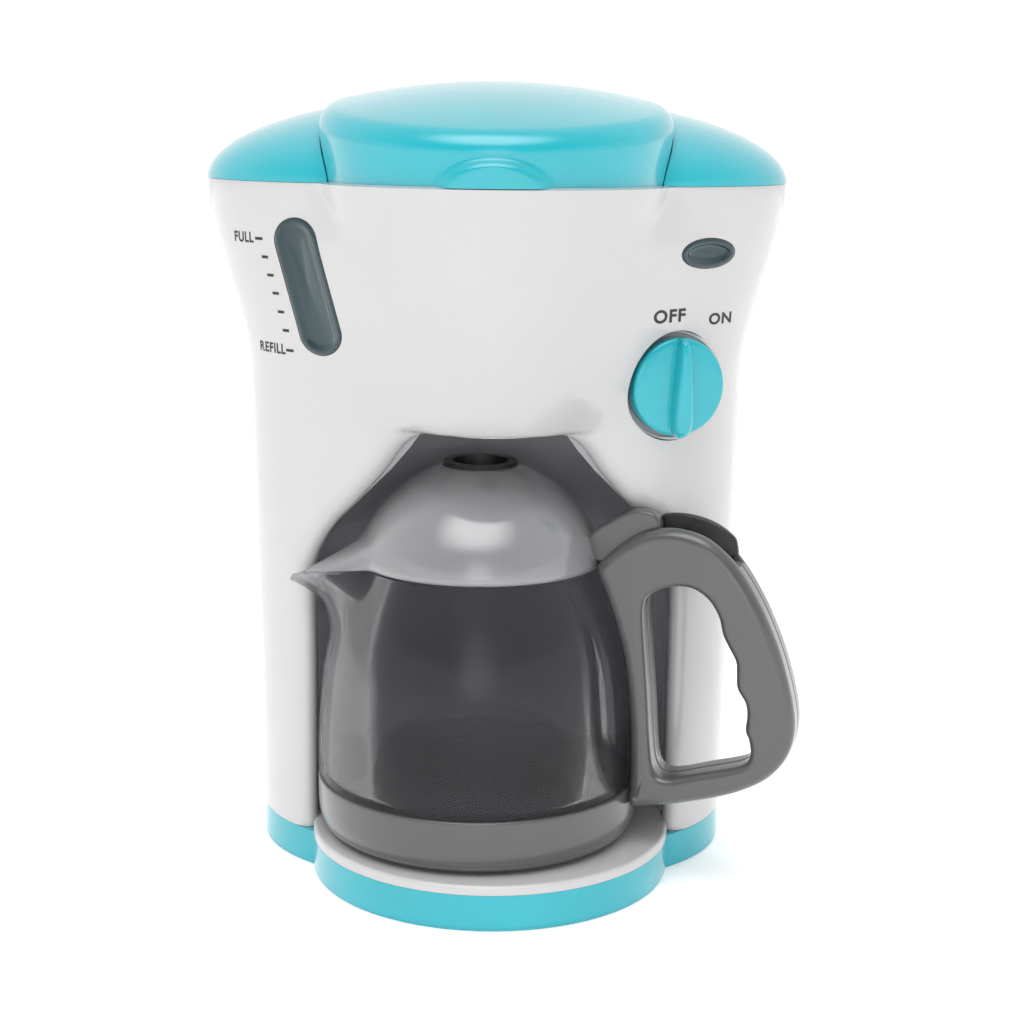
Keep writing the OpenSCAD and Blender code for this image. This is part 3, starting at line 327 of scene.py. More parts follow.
def surface(name, rows, body, stuff, round_u=False, flip=False, sharp=32, cap=False):
    """Mesh through rows of points in millimetres, on a body and with a slot's finish."""
    rows = [np.asarray(r, float) for r in rows]
    count = len(rows[0])
    verts = [tuple(p * 0.001) for r in rows for p in r]
    faces = []
    for i in range(len(rows) - 1):
        for j in range(count if round_u else count - 1):
            k = (j + 1) % count
            quad = (i * count + j, i * count + k, (i + 1) * count + k, (i + 1) * count + j)
            faces.append(quad[::-1] if flip else quad)
    if cap:
        faces.append(tuple(range(count)) if flip else tuple(range(count))[::-1])
        last = (len(rows) - 1) * count
        faces.append(tuple(range(last, last + count))[::-1] if flip else tuple(range(last, last + count)))
    mesh = bpy.data.meshes.new(name)
    mesh.from_pydata(verts, [], faces)
    work = bmesh.new()
    work.from_mesh(mesh)
    bmesh.ops.remove_doubles(work, verts=work.verts, dist=1e-6)
    bmesh.ops.dissolve_degenerate(work, edges=work.edges, dist=1e-7)
    work.to_mesh(mesh)
    work.free()
    part = bpy.data.objects.new(name, mesh)
    bpy.context.scene.collection.objects.link(part)
    mesh.materials.append(stuff)
    crisp(part, sharp)
    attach(part, body)
    return part


def thicken(part, thick):
    """Gives a skin its wall, inward, in millimetres."""
    shell = part.modifiers.new("wall", "SOLIDIFY")
    shell.thickness = thick * 0.001
    shell.offset = -1
    shell.use_even_offset = True
    settle(part)


def settle(part, degrees=32):
    """Turns the part's modifiers into plain mesh."""
    bpy.context.view_layer.update()
    view = part.evaluated_get(bpy.context.evaluated_depsgraph_get())
    fresh = bpy.data.meshes.new_from_object(view)
    part.modifiers.clear()
    part.data = fresh
    crisp(part, degrees)


white_plastic = moulded("white_plastic", white, 0.2, coat=0.4, mottle=0.012)

half_arch = [(57.2, tray_top), (57.2, 40), (57.2, 70), (57.0, 96), (55.0, 106), (49.8, 115),
             (44.0, 121.5), (38.2, 128), (33.2, 134), (29.2, 139.8), (26.2, 143.6), (22.6, 146.2),
             (18.0, 147.3), (12.0, 147.5), (0.0, 147.5)]
arch = along([(-x, z) for x, z in half_arch] + [(x, z) for x, z in half_arch[::-1][1:]], 321)
count = len(arch)
step = np.gradient(arch, axis=0)
outward = np.column_stack([-step[:, 1], step[:, 0]]) / np.linalg.norm(step, axis=1)[:, None]
part_way = np.linspace(0, 1, count)
leg_top = 100.0
leg = np.argmax(arch[:, 1] > leg_top) / (count - 1)
foot = np.argmax(arch[:, 1] > funnel_foot - 1.5) / (count - 1)
half_way = np.minimum(part_way, 1 - part_way)
corner = leg + (foot - leg) * 0.62
goal_z = np.where(half_way < leg, arch[:, 1], np.interp(half_way, [leg, corner], [leg_top, seam]))
goal_z = np.where(goal_z < tray_top, tray_top, goal_z)
goal_turn = np.interp(half_way, [corner, 0.5], [-math.pi / 2, 0])
goal_turn = np.where(part_way > 0.5, -goal_turn, goal_turn)
roll = mouth_roll * (1 - 0.86 * smooth((half_way - foot + 0.03) / 0.05))

rows = []
edge_y = front_y(arch[:, 0], arch[:, 1])
rows.append(np.column_stack([arch[:, 0], edge_y + roll + 3.2, arch[:, 1]]))
for turn in np.linspace(0, 90, 9):
    off = roll * (1 - math.cos(math.radians(turn)))
    x = arch[:, 0] + outward[:, 0] * off
    z = arch[:, 1] + outward[:, 1] * off
    drop = roll - np.sqrt(np.clip(roll**2 - (roll - off) ** 2, 0, None))
    rows.append(np.column_stack([x, front_y(x, z) + drop, z]))
start_x, start_z = rows[-1][:, 0], rows[-1][:, 2]
start_turn = turn_at(start_x, start_z)
for f in np.linspace(0, 1, 56)[1:]:
    turn = start_turn + (goal_turn - start_turn) * f
    z = start_z + (goal_z - start_z) * f
    x, y = plan_point(turn, z)
    rows.append(np.column_stack([x, y, z]))
skin = surface("front_skin", rows, "housing", white_plastic)
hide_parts("front_housing")
thicken(skin, wall)


def cut(part, cutter):
    """Opens the part where the cutter stands, and takes the cutter away."""
    hole = part.modifiers.new("hole", "BOOLEAN")
    hole.operation = "DIFFERENCE"
    hole.solver = "EXACT"
    hole.object = cutter
    settle(part)
    bpy.data.objects.remove(cutter)


def prism(name, outline, far=-130.0, near=0.0):
    """Closed prism along Y through an outline of x and z, in millimetres."""
    n = len(outline)
    verts = [(x / 1000, y / 1000, z / 1000) for y in (far, near) for x, z in outline]
    faces = [tuple(range(n)), tuple(range(2 * n - 1, n - 1, -1))]
    faces += [(i, i + n, (i + 1) % n + n, (i + 1) % n) for i in range(n)]
    mesh = bpy.data.meshes.new(name)
    mesh.from_pydata(verts, [], faces)
    part = bpy.data.objects.new(name, mesh)
    bpy.context.scene.collection.objects.link(part)
    face_outward(part)
    return part


def face_outward(part):
    """Turns every face of a closed part outward."""
    work = bmesh.new()
    work.from_mesh(part.data)
    bmesh.ops.recalc_face_normals(work, faces=work.faces)
    work.to_mesh(part.data)
    work.free()


window_at = (-56.8, 190.5)
window_tilt = math.radians(14)
window_half = 14.35
window_end = 7.2


def pill(grow, count=72):
    """The sight window's tilted outline, grown by some millimetres."""
    out = []
    for i in range(count):
        a = 2 * math.pi * i / count
        lift = window_half if math.sin(a) >= 0 else -window_half
        u, v = (window_end + grow) * math.cos(a), (window_end + grow) * math.sin(a) + lift
        c, s = math.cos(window_tilt), math.sin(window_tilt)
        out.append((window_at[0] + u * c - v * s, window_at[1] + u * s + v * c))
    return out


lens_at = (65.0, 202.0)
lens_half = (8.9, 4.7)


def oval(grow, count=56):
    """The indicator lens's outline, grown by some millimetres."""
    turns = [2 * math.pi * i / count for i in range(count)]
    return [(lens_at[0] + (lens_half[0] + grow) * math.cos(a),
             lens_at[1] + (lens_half[1] + grow) * math.sin(a)) for a in turns]


hole_room = 0.05
cut(skin, prism("window_cutter", pill(hole_room)))
cut(skin, prism("lens_cutter", oval(hole_room)))

knob_tilt = math.radians(20)
knob_r = 15.25
seat_r = 17.4
well_r = 16.15
stem_r = 4.2
knob_place = np.array([55.0, -40.938, 161.0])
knob_out = np.array([math.sin(knob_tilt), -math.cos(knob_tilt), 0.0])
knob_right = np.array([math.cos(knob_tilt), math.sin(knob_tilt), 0.0])
up = np.array([0.0, 0.0, 1.0])


def around_knob(profile, count=96):
    """Rings round the knob's axis: each pair is a radius and a height along the axis."""
    turns = np.linspace(0, 2 * math.pi, count, endpoint=False)
    return [[knob_place + knob_out * t + r * (knob_right * math.cos(a) + up * math.sin(a)) for a in turns]
            for r, t in profile]


seat_cutter = surface("seat_cutter", around_knob([(seat_r, -9), (seat_r, 30)]), "housing", white_plastic,
                      round_u=True, cap=True)
face_outward(seat_cutter)
cut(skin, seat_cutter)
seat_rings = [(seat_r, -7), (seat_r, 0.2), (seat_r - 0.1, 0.9), (seat_r - 0.35, 1.3), (seat_r - 0.65, 1.4),
              (seat_r - 1.0, 1.25), (well_r + 0.05, 0.8), (well_r, 0.2), (well_r, -0.1),
              (well_r - 0.55, -0.35), (stem_r, -0.35), (stem_r, -1.5)]
seat = surface("knob_seat_ring", around_knob(seat_rings), "housing", white_plastic,
               round_u=True, sharp=60)

deck_r = 58.3
deck_top = 14.5
deck_y = -31.7
turns = np.linspace(0, 2 * math.pi, 193)[:-1]
deck_profile = [(0, deck_top), (30, deck_top), (50, deck_top), (deck_r - 1.4, deck_top),
                (deck_r - 0.8, 14.42), (deck_r - 0.35, 14.15), (deck_r - 0.1, 13.7), (deck_r, 13.2),
                (deck_r, tray_top), (deck_r - 0.5, 11.55), (30, 11.55)]
rows = [[(r * math.cos(a), r * math.sin(a) + deck_y, z) for a in turns] for r, z in deck_profile]
deck = surface("deck", rows, "housing", white_plastic, round_u=True, flip=True)
foot_profile = [(25.5, 149.2), (25.0, funnel_foot + 0.06), (18, funnel_foot), (6, funnel_foot),
                (5.2, 148.4)]
rows = [[(funnel_squash * r * math.cos(a), r * math.sin(a) - funnel_y, z) for a in turns]
        for r, z in foot_profile]
plate = surface("funnel_foot", rows, "housing", white_plastic, round_u=True, flip=True)
for part in (seat, deck, plate):
    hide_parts("front_housing")

# ---------------------------------------------------------------- rear cover
# The back half of the housing: a plain white ABS shell with a shallow step round the battery door
# and four deep screw holes. The CAD shell already has that form and gets the housing's plastic.
for name in ("rear_cover", "battery_door"):
    finish_as(nodes[name], white_plastic)

# ---------------------------------------------------------------- cave liner
# A separate dark moulding that lines the cave, finely eroded so that it looks satin. Its lip is
# trapped behind the white mouth, and a flat panel runs down its back.
liner_plastic = moulded("liner_plastic", (0.47, 0.462, 0.485), 0.42, mottle=0.06, grain=0.00008)
finish_as(nodes["cave_liner"], liner_plastic)

# ---------------------------------------------------------------- top cover
# The turquoise roof: a low glossy ABS dome that clips round the housing's top. Its opening is
# shaped to the lid and has a wall hanging from it, and a trench at the back takes the hinge.
cap_rise = 27.5
cap_r = 93.8
cap_front = wing_depth
cap_back = 51 / foot_half
lid_front_r = 58.5
lid_edge_z = 249.5
lid_flare = 3.5
lid_gap = 0.1
hinge_y = 9.0
hinge_z = 248.5
trench_r = 3.8


def cap_z(x, y):
    """Height of the roof, with the trench for the hinge across it."""
    deep = np.where(y < 0, cap_r * cap_front, cap_r * cap_back)
    q = np.clip((x / cap_r) ** 2 + (y / deep) ** 2, 0, 1)
    z = seam + cap_rise * np.sqrt(np.clip(1 - q, 0, 1))
    near = np.clip(trench_r**2 - (y - hinge_y) ** 2, 0, None)
    trench = np.where((np.abs(x) < 25) & (near > 0), hinge_z - np.sqrt(near), 999)
    return np.minimum(z, trench)


def lid_outline(turn, grow=0.0, z=lid_edge_z):
    """Plan of the lid at a height: an oval cut straight across at the hinge. Turn 0 is ahead."""
    r = lid_front_r + grow - lid_flare * np.clip((lid_edge_z - z) / cap_rise, 0, 1)
    x = r * funnel_squash * np.sin(turn)
    y = -r * np.cos(turn)
    back = hinge_y - 0.6 + grow + funnel_y
    scale = np.where(y > back, back / np.maximum(y, 1e-6), 1)
    return x * scale, y * scale - funnel_y


start = 0.6
for _ in range(400):
    x, y = lid_outline(np.array([start]), lid_gap, seam + 0.3)
    if (x[0] / cap_r) ** 2 + (y[0] / (cap_r * cap_front)) ** 2 < 0.9985:
        break
    start += 0.004
count = 241
inner_turn = np.linspace(start, 2 * math.pi - start, count)
ix, iy = lid_outline(inner_turn, lid_gap)
for _ in range(8):
    ix, iy = lid_outline(inner_turn, lid_gap, np.minimum(cap_z(ix, iy), lid_edge_z))
first = math.atan2(x[0] / cap_r, -y[0] / (cap_r * cap_front))
outer_turn = np.interp(np.arange(count), [0, 120, 240], [first, math.pi, 2 * math.pi - first])
ox = cap_r * np.sin(outer_turn)
oy = -cap_r * np.cos(outer_turn) * np.where(np.cos(outer_turn) > 0, cap_front, cap_back)
rows = [np.column_stack([ox * 0.985, oy * 0.985, np.full(count, seam + 0.05)]),
        np.column_stack([ox, oy, np.full(count, seam + 0.12)])]
for f in 1 - np.cos(np.linspace(0, math.pi / 2, 40))[1:]:
    x, y = ox + (ix - ox) * f, oy + (iy - oy) * f
    z = cap_z(x, y)
    if f > 0.985:
        z = z - 0.25
    rows.append(np.column_stack([x, y, z]))
lip_z = rows[-1][:, 2]
for sink in (0.5, 3, 7, 14, 24):
    z = np.maximum(lip_z - sink, seam)
    x, y = lid_outline(inner_turn, lid_gap, z)
    rows.append(np.column_stack([x, y, z]))
roof = surface("top_roof", rows, "housing", turquoise_plastic, sharp=40)
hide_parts("top_cover")

# ---------------------------------------------------------------- lid
# The flip lid over the tank: a thin glossy turquoise ABS dome with a rolled crest, a finger tab
# at the front and two knuckles at the back that turn on a steel pin.
lid_top = 253.0
lid_top_y = -16.0
lid_sag = 6.0
lid_bottom = seam + 0.35
crest_roll = 5.0
tab_half = (17.6, 9.6)
tab_out = 2.5


def dome_z(x, y):
    """Height of the lid's dome, which has sagged by lid_sag at 50 mm from its highest point."""
    return lid_top - lid_sag * (x**2 + (y - lid_top_y) ** 2) / 50**2


turn = np.linspace(0, 2 * math.pi, 361)[:-1]
rows = []
crest_x, crest_y = lid_outline(turn, -lid_gap)
wall_top = dome_z(crest_x, crest_y) - crest_roll
for _ in range(4):
    crest_x, crest_y = lid_outline(turn, -lid_gap, wall_top)
    wall_top = dome_z(crest_x, crest_y) - crest_roll
back = smooth((crest_y + 44) / 6)
low = lid_bottom + back * (wall_top - 2.5 - lid_bottom)
for f in np.linspace(0, 1, 25):
    z = low + (wall_top - low) * f
    x, y = lid_outline(turn, -lid_gap, z)
    q = (x / tab_half[0]) ** 2 + ((z - seam + 0.5) / tab_half[1]) ** 2
    y = np.where((q < 1) & (y < -60), y - tab_out * smooth((1 - q) / 0.55), y)
    rows.append(np.column_stack([x, y, z]))
for a in np.linspace(0, 90, 9)[1:]:
    s = crest_roll * (1 - math.cos(math.radians(a)))
    x, y = lid_outline(turn, -lid_gap - s, wall_top)
    z = dome_z(x, y) - (crest_roll - math.sqrt(max(0, crest_roll**2 - (crest_roll - s) ** 2)))
    rows.append(np.column_stack([x, y, z]))
edge_x, edge_y = lid_outline(turn, -lid_gap - crest_roll, wall_top)
for f in np.linspace(0, 1, 22)[1:]:
    x, y = edge_x * (1 - f), edge_y + (-22 - edge_y) * f
    rows.append(np.column_stack([x, y, dome_z(x, y)]))
lid_shell = surface("lid_shell", rows, "lid", turquoise_plastic, round_u=True,
                    sharp=40)
thicken(lid_shell, 2.0)
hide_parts("lid")

knuckle_r = 3.0
knuckle_edge = 0.5


def knuckle(name, x0, x1, body, node):
    """A knuckle on the hinge's axis from x0 to x1, with rounded ends, that stands for a node."""
    turns = np.linspace(0, 2 * math.pi, 48, endpoint=False)
    near, far = knuckle_edge * 0.3, knuckle_edge
    ends = [(0.0, x0), (knuckle_r - far, x0), (knuckle_r - near, x0 + near), (knuckle_r, x0 + far),
            (knuckle_r, x1 - far), (knuckle_r - near, x1 - near), (knuckle_r - far, x1), (0.0, x1)]
    rows = [[(x, hinge_y + q * math.cos(a), hinge_z + q * math.sin(a)) for a in turns] for q, x in ends]
    part = surface(name, rows, body, turquoise_plastic, round_u=True)
    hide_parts(node)


knuckle("lid_knuckle_left", -20.0, -10.3, "lid", "lid")
knuckle("lid_knuckle_right", 10.3, 20.0, "lid", "lid")
knuckle("roof_knuckle", -10, 10, "housing", "top_cover")

# ---------------------------------------------------------------- sight window
# A long clear pill in dark teal acrylic, pushed into its hole from inside. It has a raised rim
# and a dished face, and the tank shows faintly through it.
window_plastic = moulded("window_plastic", (0.022, 0.058, 0.069), 0.07, mottle=0.06, grain=0)


def let_light_through(stuff, share, ior, opacity=1.0):
    """Makes a plastic clear: the share of light that passes, its bend and its opacity."""
    skin = stuff.node_tree.nodes["Principled BSDF"]
    skin.inputs["Transmission Weight"].default_value = share
    skin.inputs["IOR"].default_value = ior
    skin.inputs["Alpha"].default_value = opacity


let_light_through(window_plastic, 0.3, 1.49)


def inlay(name, ring, steps, node):
    """A glazed inlay that follows the housing's front: each step grows its outline and stands up."""
    rows = []
    for grow, lift in steps:
        p = np.array(ring(grow))
        rows.append(np.column_stack([p[:, 0], front_y(p[:, 0], p[:, 1]) - lift, p[:, 1]]))
    centre = rows[-1].mean(axis=0)
    for f in (0.6, 0.25, 0.0):
        rows.append(centre + (rows[-1] - centre) * f)
    part = surface(name, rows, "housing", window_plastic, round_u=True, sharp=70)
    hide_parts(node)


window_steps = [(-0.1, -2.2), (-0.1, -0.1), (-0.35, 0.28), (-0.9, 0.5), (-1.6, 0.42), (-2.1, 0.0),
                (-2.6, -0.6), (-3.6, -0.9), (-5.2, -1.0)]
inlay("window_pill", pill, window_steps, "sight_window")

# ---------------------------------------------------------------- indicator lens
# The lamp's oval lens: the same teal acrylic, with a broad raised rim round a darker dished eye. It
# is moulded in one piece and pushed into its hole from inside.
lens_steps = [(-0.1, -2.2), (-0.1, -0.05), (-0.3, 0.35), (-0.9, 0.6), (-1.5, 0.5), (-1.9, 0.1),
              (-2.2, -0.5), (-2.9, -0.9), (-3.6, -1.1)]
inlay("lens_oval", oval, lens_steps, "indicator_lens")

# ---------------------------------------------------------------- knob
# The turn knob: one glossy turquoise moulding, a thick disc with a tapered grip bar across it. It
# is pressed on the valve's plug and a screw from behind holds it.
disc_rings = [(4.0, -5.9), (4.0, 0.5), (knob_r - 0.55, 0.5), (knob_r - 0.15, 0.65), (knob_r, 1.1),
              (knob_r, 5.4), (knob_r - 0.1, 6.0), (knob_r - 0.4, 6.45), (knob_r - 0.95, 6.75),
              (knob_r - 2.05, 7.0), (knob_r - 3.05, 7.1), (8, 7.3), (3, 7.45), (0, 7.5)]
disc = surface("knob_disc", around_knob(disc_rings), "knob", turquoise_plastic,
               round_u=True, sharp=50)
bar_foot = 6.4
bar_line = along([(15.15, 0.7, 9.2), (13.5, 1.35, 11.2), (8, 2.05, 12.3), (0, 2.8, 12.6), (-7, 3.15, 12.5),
                  (-12, 2.95, 11.9), (-14.6, 2.1, 10.6), (-15.6, 0.9, 8.8)], 40)
rows = []
for s, half, top in bar_line:
    ring = []
    for a in np.linspace(0, 180, 13):
        c, t = math.cos(math.radians(a)), math.sin(math.radians(a))
        ring.append((half * np.sign(c) * abs(c) ** 0.7, bar_foot + (top - bar_foot) * t**0.45))
    rows.append([knob_place + knob_right * u + knob_out * t + up * s for u, t in ring])
mid = np.mean(rows[0], axis=0), np.mean(rows[-1], axis=0)
rows = [[mid[0]] * 13] + rows + [[mid[1]] * 13]
bar = surface("knob_grip", rows, "knob", turquoise_plastic, sharp=60)
for part in (disc, bar):
    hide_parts("knob")

# ---------------------------------------------------------------- jug
# The jug: blown-looking clear polystyrene with a smoke-grey tint and an even 2 mm wall. A drooping
# pouring lip is drawn out of its rim on the left.
jug_axis = np.array([-4.2, -33.0])
lip_turn = math.radians(187)
smoke = moulded("smoke_plastic", (0.38, 0.37, 0.405), 0.0, mottle=0.02, grain=0)
let_light_through(smoke, 0.96, 1.36, opacity=0.52)

jug_foot = 17.4
jug_rim = 102.6
jug_side = along([(50.1, jug_foot), (50.1, 24), (50.1, 31.5), (50.8, 32.6), (52.0, 33.6), (52.2, 37),
                  (52.2, 43), (51.7, 55), (50.3, 70), (48.3, 80), (45.3, 89), (41.9, 97),
                  (39.3, jug_rim)], 60)
lip_reach = 61.4
lip_start = 79.0
lip_droop = 5.5


def near_lip(turns, wide, power):
    """One over the pouring lip, falling to nothing at a number of degrees to either side."""
    away = np.abs((turns - lip_turn + math.pi) % (2 * math.pi) - math.pi)
    return np.clip(1 - away / math.radians(wide), 0, 1) ** power


def round_jug(reach, turns, z):
    """Row of points round the jug's axis."""
    x = jug_axis[0] + reach * np.cos(turns)
    y = jug_axis[1] + reach * np.sin(turns)
    return np.column_stack([x, y, z + 0 * turns])


turns = np.linspace(0, 2 * math.pi, 241)[:-1]
bottom = [(0, jug_foot), (20, jug_foot), (44, jug_foot), (48.5, 17.5)]
rows = [round_jug(r, turns, z) for r, z in bottom]
for r, z in jug_side:
    rise = np.clip((z - lip_start) / (jug_rim - lip_start), 0, 1) ** 1.35
    droop = lip_droop * near_lip(turns, 20, 1.2) * np.clip((z - 90) / (jug_rim - 90), 0, 1)
    rows.append(round_jug(r + (lip_reach - r) * near_lip(turns, 27, 1.5) * rise, turns, z - droop))
glass = surface("jug_glass", rows, "jug", smoke, round_u=True, sharp=50)
thicken(glass, 1.9)
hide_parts("jug_body")

# ---------------------------------------------------------------- jug band
# The band that shoes the jug: a deep cup moulded in metallic grey plastic. It is pressed over the
# jug's foot from below.
grey_plastic = moulded("grey_plastic", (0.078, 0.077, 0.079), 0.3, coat=0.6, mottle=0.06, grain=0.00002)
band_r = 52.25
band_side = [(0, 14.75), (30, 14.75), (45.5, 14.75), (47.2, 15.0), (48.6, 15.7), (49.9, 16.9),
             (50.9, 18.4), (51.6, 20.2), (52.0, 22.2), (52.2, 25), (band_r, 29), (band_r, 31.9),
             (52.15, 32.4), (51.9, 32.7), (51.2, 32.75), (50.4, 32.7), (50.3, 32.3), (50.3, 17.2),
             (30, 17.15), (0, 17.15)]
rows = [round_jug(r, turns, z) for r, z in band_side]
band = surface("jug_band_cup", rows, "jug", grey_plastic, round_u=True, sharp=60)
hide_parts("jug_band")

# ---------------------------------------------------------------- handle
# The handle: two half shells of the same metallic grey plastic that close on the jug, screwed
# together from the far side. The grip hole has three finger scallops and every edge is rounded.
handle_turn = math.radians(17)
handle_half_t = 8.2
u_way = np.array([math.cos(handle_turn), -math.sin(handle_turn), 0])
n_way = np.array([math.sin(handle_turn), math.cos(handle_turn), 0])
outline = [(52.6, 27.9), (60, 28.6), (66.3, 29.6), (80.2, 33.4), (89.2, 37), (96.8, 41.9), (102.1, 49),
           (104.1, 57.3), (103.2, 66.5), (100.0, 78.3), (96.3, 87.9), (92.0, 96.7), (86.9, 105),
           (81.5, 111.4), (74.2, 116.6), (65.0, 118.6), (56.6, 117.3), (49.3, 113.4), (42.6, 107.6)]
strap = [(40.4, 103.5), (43.2, 96.4), (46.2, 88), (48.9, 79), (50.8, 69), (52.1, 56), (52.6, 43),
         (52.6, 34)]
hole = [(60.2, 41), (64.7, 38.4), (76.7, 41.6), (88.2, 45.2), (90.7, 48.6), (90.2, 53.4), (89.0, 56.5),
        (89.3, 61.5), (88.6, 65.5), (86.0, 69.8), (85.6, 74.5), (85.2, 78.4), (82.9, 82.6),
        (80.9, 86.6), (79.6, 91.6), (76.6, 96.6), (72.0, 99.9), (66.6, 100.6), (60.2, 98.8),
        (56.4, 95.6), (55.6, 90.4), (56.4, 80), (57.8, 64), (58.8, 50)]


def closed(points, count=1200):
    """Fine points on a smooth closed curve through the given ones."""
    p = np.array(points, float)
    n = len(p)
    out = []
    for i in range(n):
        corners = (p[i - 1], p[i], p[(i + 1) % n], p[(i + 2) % n])
        out += [between(*corners, t) for t in np.linspace(0, 1, count // n, endpoint=False)]
    return np.array(out)


def grown(curve, by):
    """The curve moved outward along its own normals."""
    d = np.roll(curve, -1, axis=0) - np.roll(curve, 1, axis=0)
    n = np.column_stack([d[:, 1], -d[:, 0]]) / (np.linalg.norm(d, axis=1)[:, None] + 1e-9)
    area = np.sum(curve[:, 0] * np.roll(curve[:, 1], -1) - np.roll(curve[:, 0], -1) * curve[:, 1])
    return curve + n * by * (1 if area > 0 else -1)


def section_even(points, count, corners):
    """Points round a closed curve, shared out evenly between chosen corner points."""
    curve = closed(points)
    marks = [int(np.argmin(np.linalg.norm(curve - np.array(c), axis=1))) for c in corners]
    out = []
    for i, m in enumerate(marks):
        stop = marks[(i + 1) % len(marks)]
        run = curve[m : stop + 1] if stop > m else np.vstack([curve[m:], curve[: stop + 1]])
        out.append(spread(run, count, endpoint=False))
    return np.vstack(out)


outer_marks = [(52.6, 27.9), (96.8, 41.9), (92.0, 96.7), (65.0, 118.6), (42.6, 107.6)]
inner_marks = [(60.2, 41), (88.2, 45.2), (79.6, 91.6), (66.6, 100.6), (56.4, 95.6)]
outer_loop = section_even(outline + strap, 48, outer_marks)
inner_loop = section_even(hole, 48, inner_marks)


def in_handle(curve, n):
    """Puts a curve of the handle's plane in space, n millimetres to the side of that plane."""
    side = np.broadcast_to(np.asarray(n, float), (len(curve),))
    base = np.array([jug_axis[0], jug_axis[1], 0.0])
    return base + curve[:, :1] * u_way + side[:, None] * n_way + curve[:, 1:] * up


loop_u, loop_z = outer_loop.T
slot_end = smooth((85.5 - loop_u) / 6.0) * (loop_z > 90)
slot = smooth((loop_u - 47.5) / 2.5) * slot_end
slot_deep = 5.5 + 8.3 * smooth((68 - loop_u) / 3)
lip = smooth((loop_u - 57.0) / 2.5) * slot_end
edge = 3.6
hole_edge = 2.6
outer_steps = [(0.05, 0.3, slot_deep), (0.3, 0.05, slot_deep), (0.7, 0.0, slot_deep),
               (2.0, 0.0, slot_deep), (3.55, 0.0, slot_deep), (3.75, 0.0, slot_deep - 0.3),
               (3.9, 0.0, 0.5), (4.1, 0.0, 0.12), (4.4, 0.0, 0.0)]
outer_face = grown(outer_loop, -edge)
inner_face = grown(inner_loop, hole_edge)
for name, sign in (("near", -1), ("far", 1)):
    rows = []
    for n, inset, sunk in outer_steps:
        deep = np.clip(inset + slot * sunk, 0, None)
        rows.append(in_handle(grown(outer_loop, -deep[:, None]), sign * n))
    for a in np.radians([0, 12, 24, 36, 48, 60, 72, 82]):
        side = handle_half_t - edge + edge * math.sin(a)
        rows.append(in_handle(grown(outer_loop, -edge * (1 - math.cos(a))), sign * side))
    for f in np.linspace(0, 1, 9):
        rows.append(in_handle(outer_face + (inner_face - outer_face) * f, sign * (handle_half_t - 0.02)))
    for a in np.radians([78, 64, 50, 36, 22, 8, 0]):
        side = handle_half_t - hole_edge + hole_edge * math.sin(a)
        rows.append(in_handle(grown(inner_loop, hole_edge * (1 - math.cos(a))), sign * side))
    for n, inset in [(2.0, 0.0), (0.7, 0.0), (0.3, 0.05), (0.05, 0.3)]:
        rows.append(in_handle(grown(inner_loop, inset), sign * n))
    half = surface("handle_" + name, rows, "jug", grey_plastic, round_u=True,
                   flip=sign > 0, sharp=45)
    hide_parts("handle_%s_half" % name)

# ---------------------------------------------------------------- jug lid
# The jug's lid: a thin dome moulded in clear smoke plastic, with a beak over the pouring lip. It
# turns on a steel pin in the handle.
frosted_smoke = moulded("lid_smoke_plastic", (0.47, 0.47, 0.485), 0.09, coat=1.0, mottle=0.03, grain=0)
let_light_through(frosted_smoke, 0.55, 1.5)
beak_reach = 57.5
beak_droop = 3.4
dome = along([(38.8, 103.05), (39.4, 104.0), (39.2, 106.0), (38.2, 109.6), (36.6, 113.4), (34.3, 117.2),
              (31.4, 121.0), (27.8, 124.7), (23.4, 128.2), (18.6, 131.0), (14.8, 132.9), (12.3, 133.8),
              (11.3, 133.95), (10.7, 133.6), (10.4, 132.6)], 64)
rows = []
for r, z in dome:
    beak = near_lip(turns, 25, 1.5) * np.clip((112 - z) / 9.0, 0, 1) ** 1.6
    rows.append(round_jug(r + (beak_reach - r) * beak, turns, z - beak * beak_droop))
jug_dome = surface("jug_dome", rows, "jug_lid", frosted_smoke, round_u=True, sharp=50)
thicken(jug_dome, 1.7)
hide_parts("jug_lid")

# ---------------------------------------------------------------- thumb lever and drip insert
# The lever is the grey metallic lug that the thumb presses, moulded with its edges rounded off and
# clipped on the dome. The insert is the black funnel ring that catches the drips. The black strip
# along the slot in the handle's top is painted shade: it stands for the deep shadow in that slot.
lever_side = [(34.2, 110.2), (36.6, 106.3), (41.5, 105.3), (46.0, 105.4), (51.4, 106.9), (55.6, 110.9),
              (59.2, 116.2), (59.4, 119.4), (57.4, 122.2), (54.0, 123.0), (50.2, 122.6), (44.4, 119.6),
              (38.4, 115.6)]
lever_loop = section_even(lever_side, 24, [(36.6, 106.3), (55.6, 110.9), (54.0, 123.0), (38.4, 115.6)])
lever_half_t = 2.9
lever_edge = 1.3
rows = []
for side, turns_in in ((-1, range(90, -1, -15)), (1, range(0, 91, 15))):
    for a in np.radians(list(turns_in)):
        n = side * (lever_half_t - lever_edge * (1 - math.sin(a)))
        rows.append(in_handle(grown(lever_loop, -lever_edge * (1 - math.cos(a))), n))
lever = surface("thumb_lug", rows, "jug_lid", grey_plastic, round_u=True, flip=True,
                sharp=60, cap=True)
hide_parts("thumb_lever")
# Black plastic for the drip insert, nozzle and switch; the same material paints shade into the handle's
# slot.
black_plastic = moulded("black_plastic", (0.012, 0.012, 0.013), 0.35, mottle=0.1, grain=0.00004)
for name in ("drip_insert", "drip_nozzle", "leaf_switch"):
    finish_as(nodes[name], black_plastic)
# Painted shade: a black strip that lines the slot's walls and floor along the handle's top, standing for
# the deep shadow in it.
in_slot = slot > 0.02
lining = [(0.45, -3.72), (0.6, -3.5), (slot_deep - 0.5, -3.45), (slot_deep - 0.2, -3.2),
          (slot_deep - 0.2, 3.2), (slot_deep - 0.5, 3.45)]
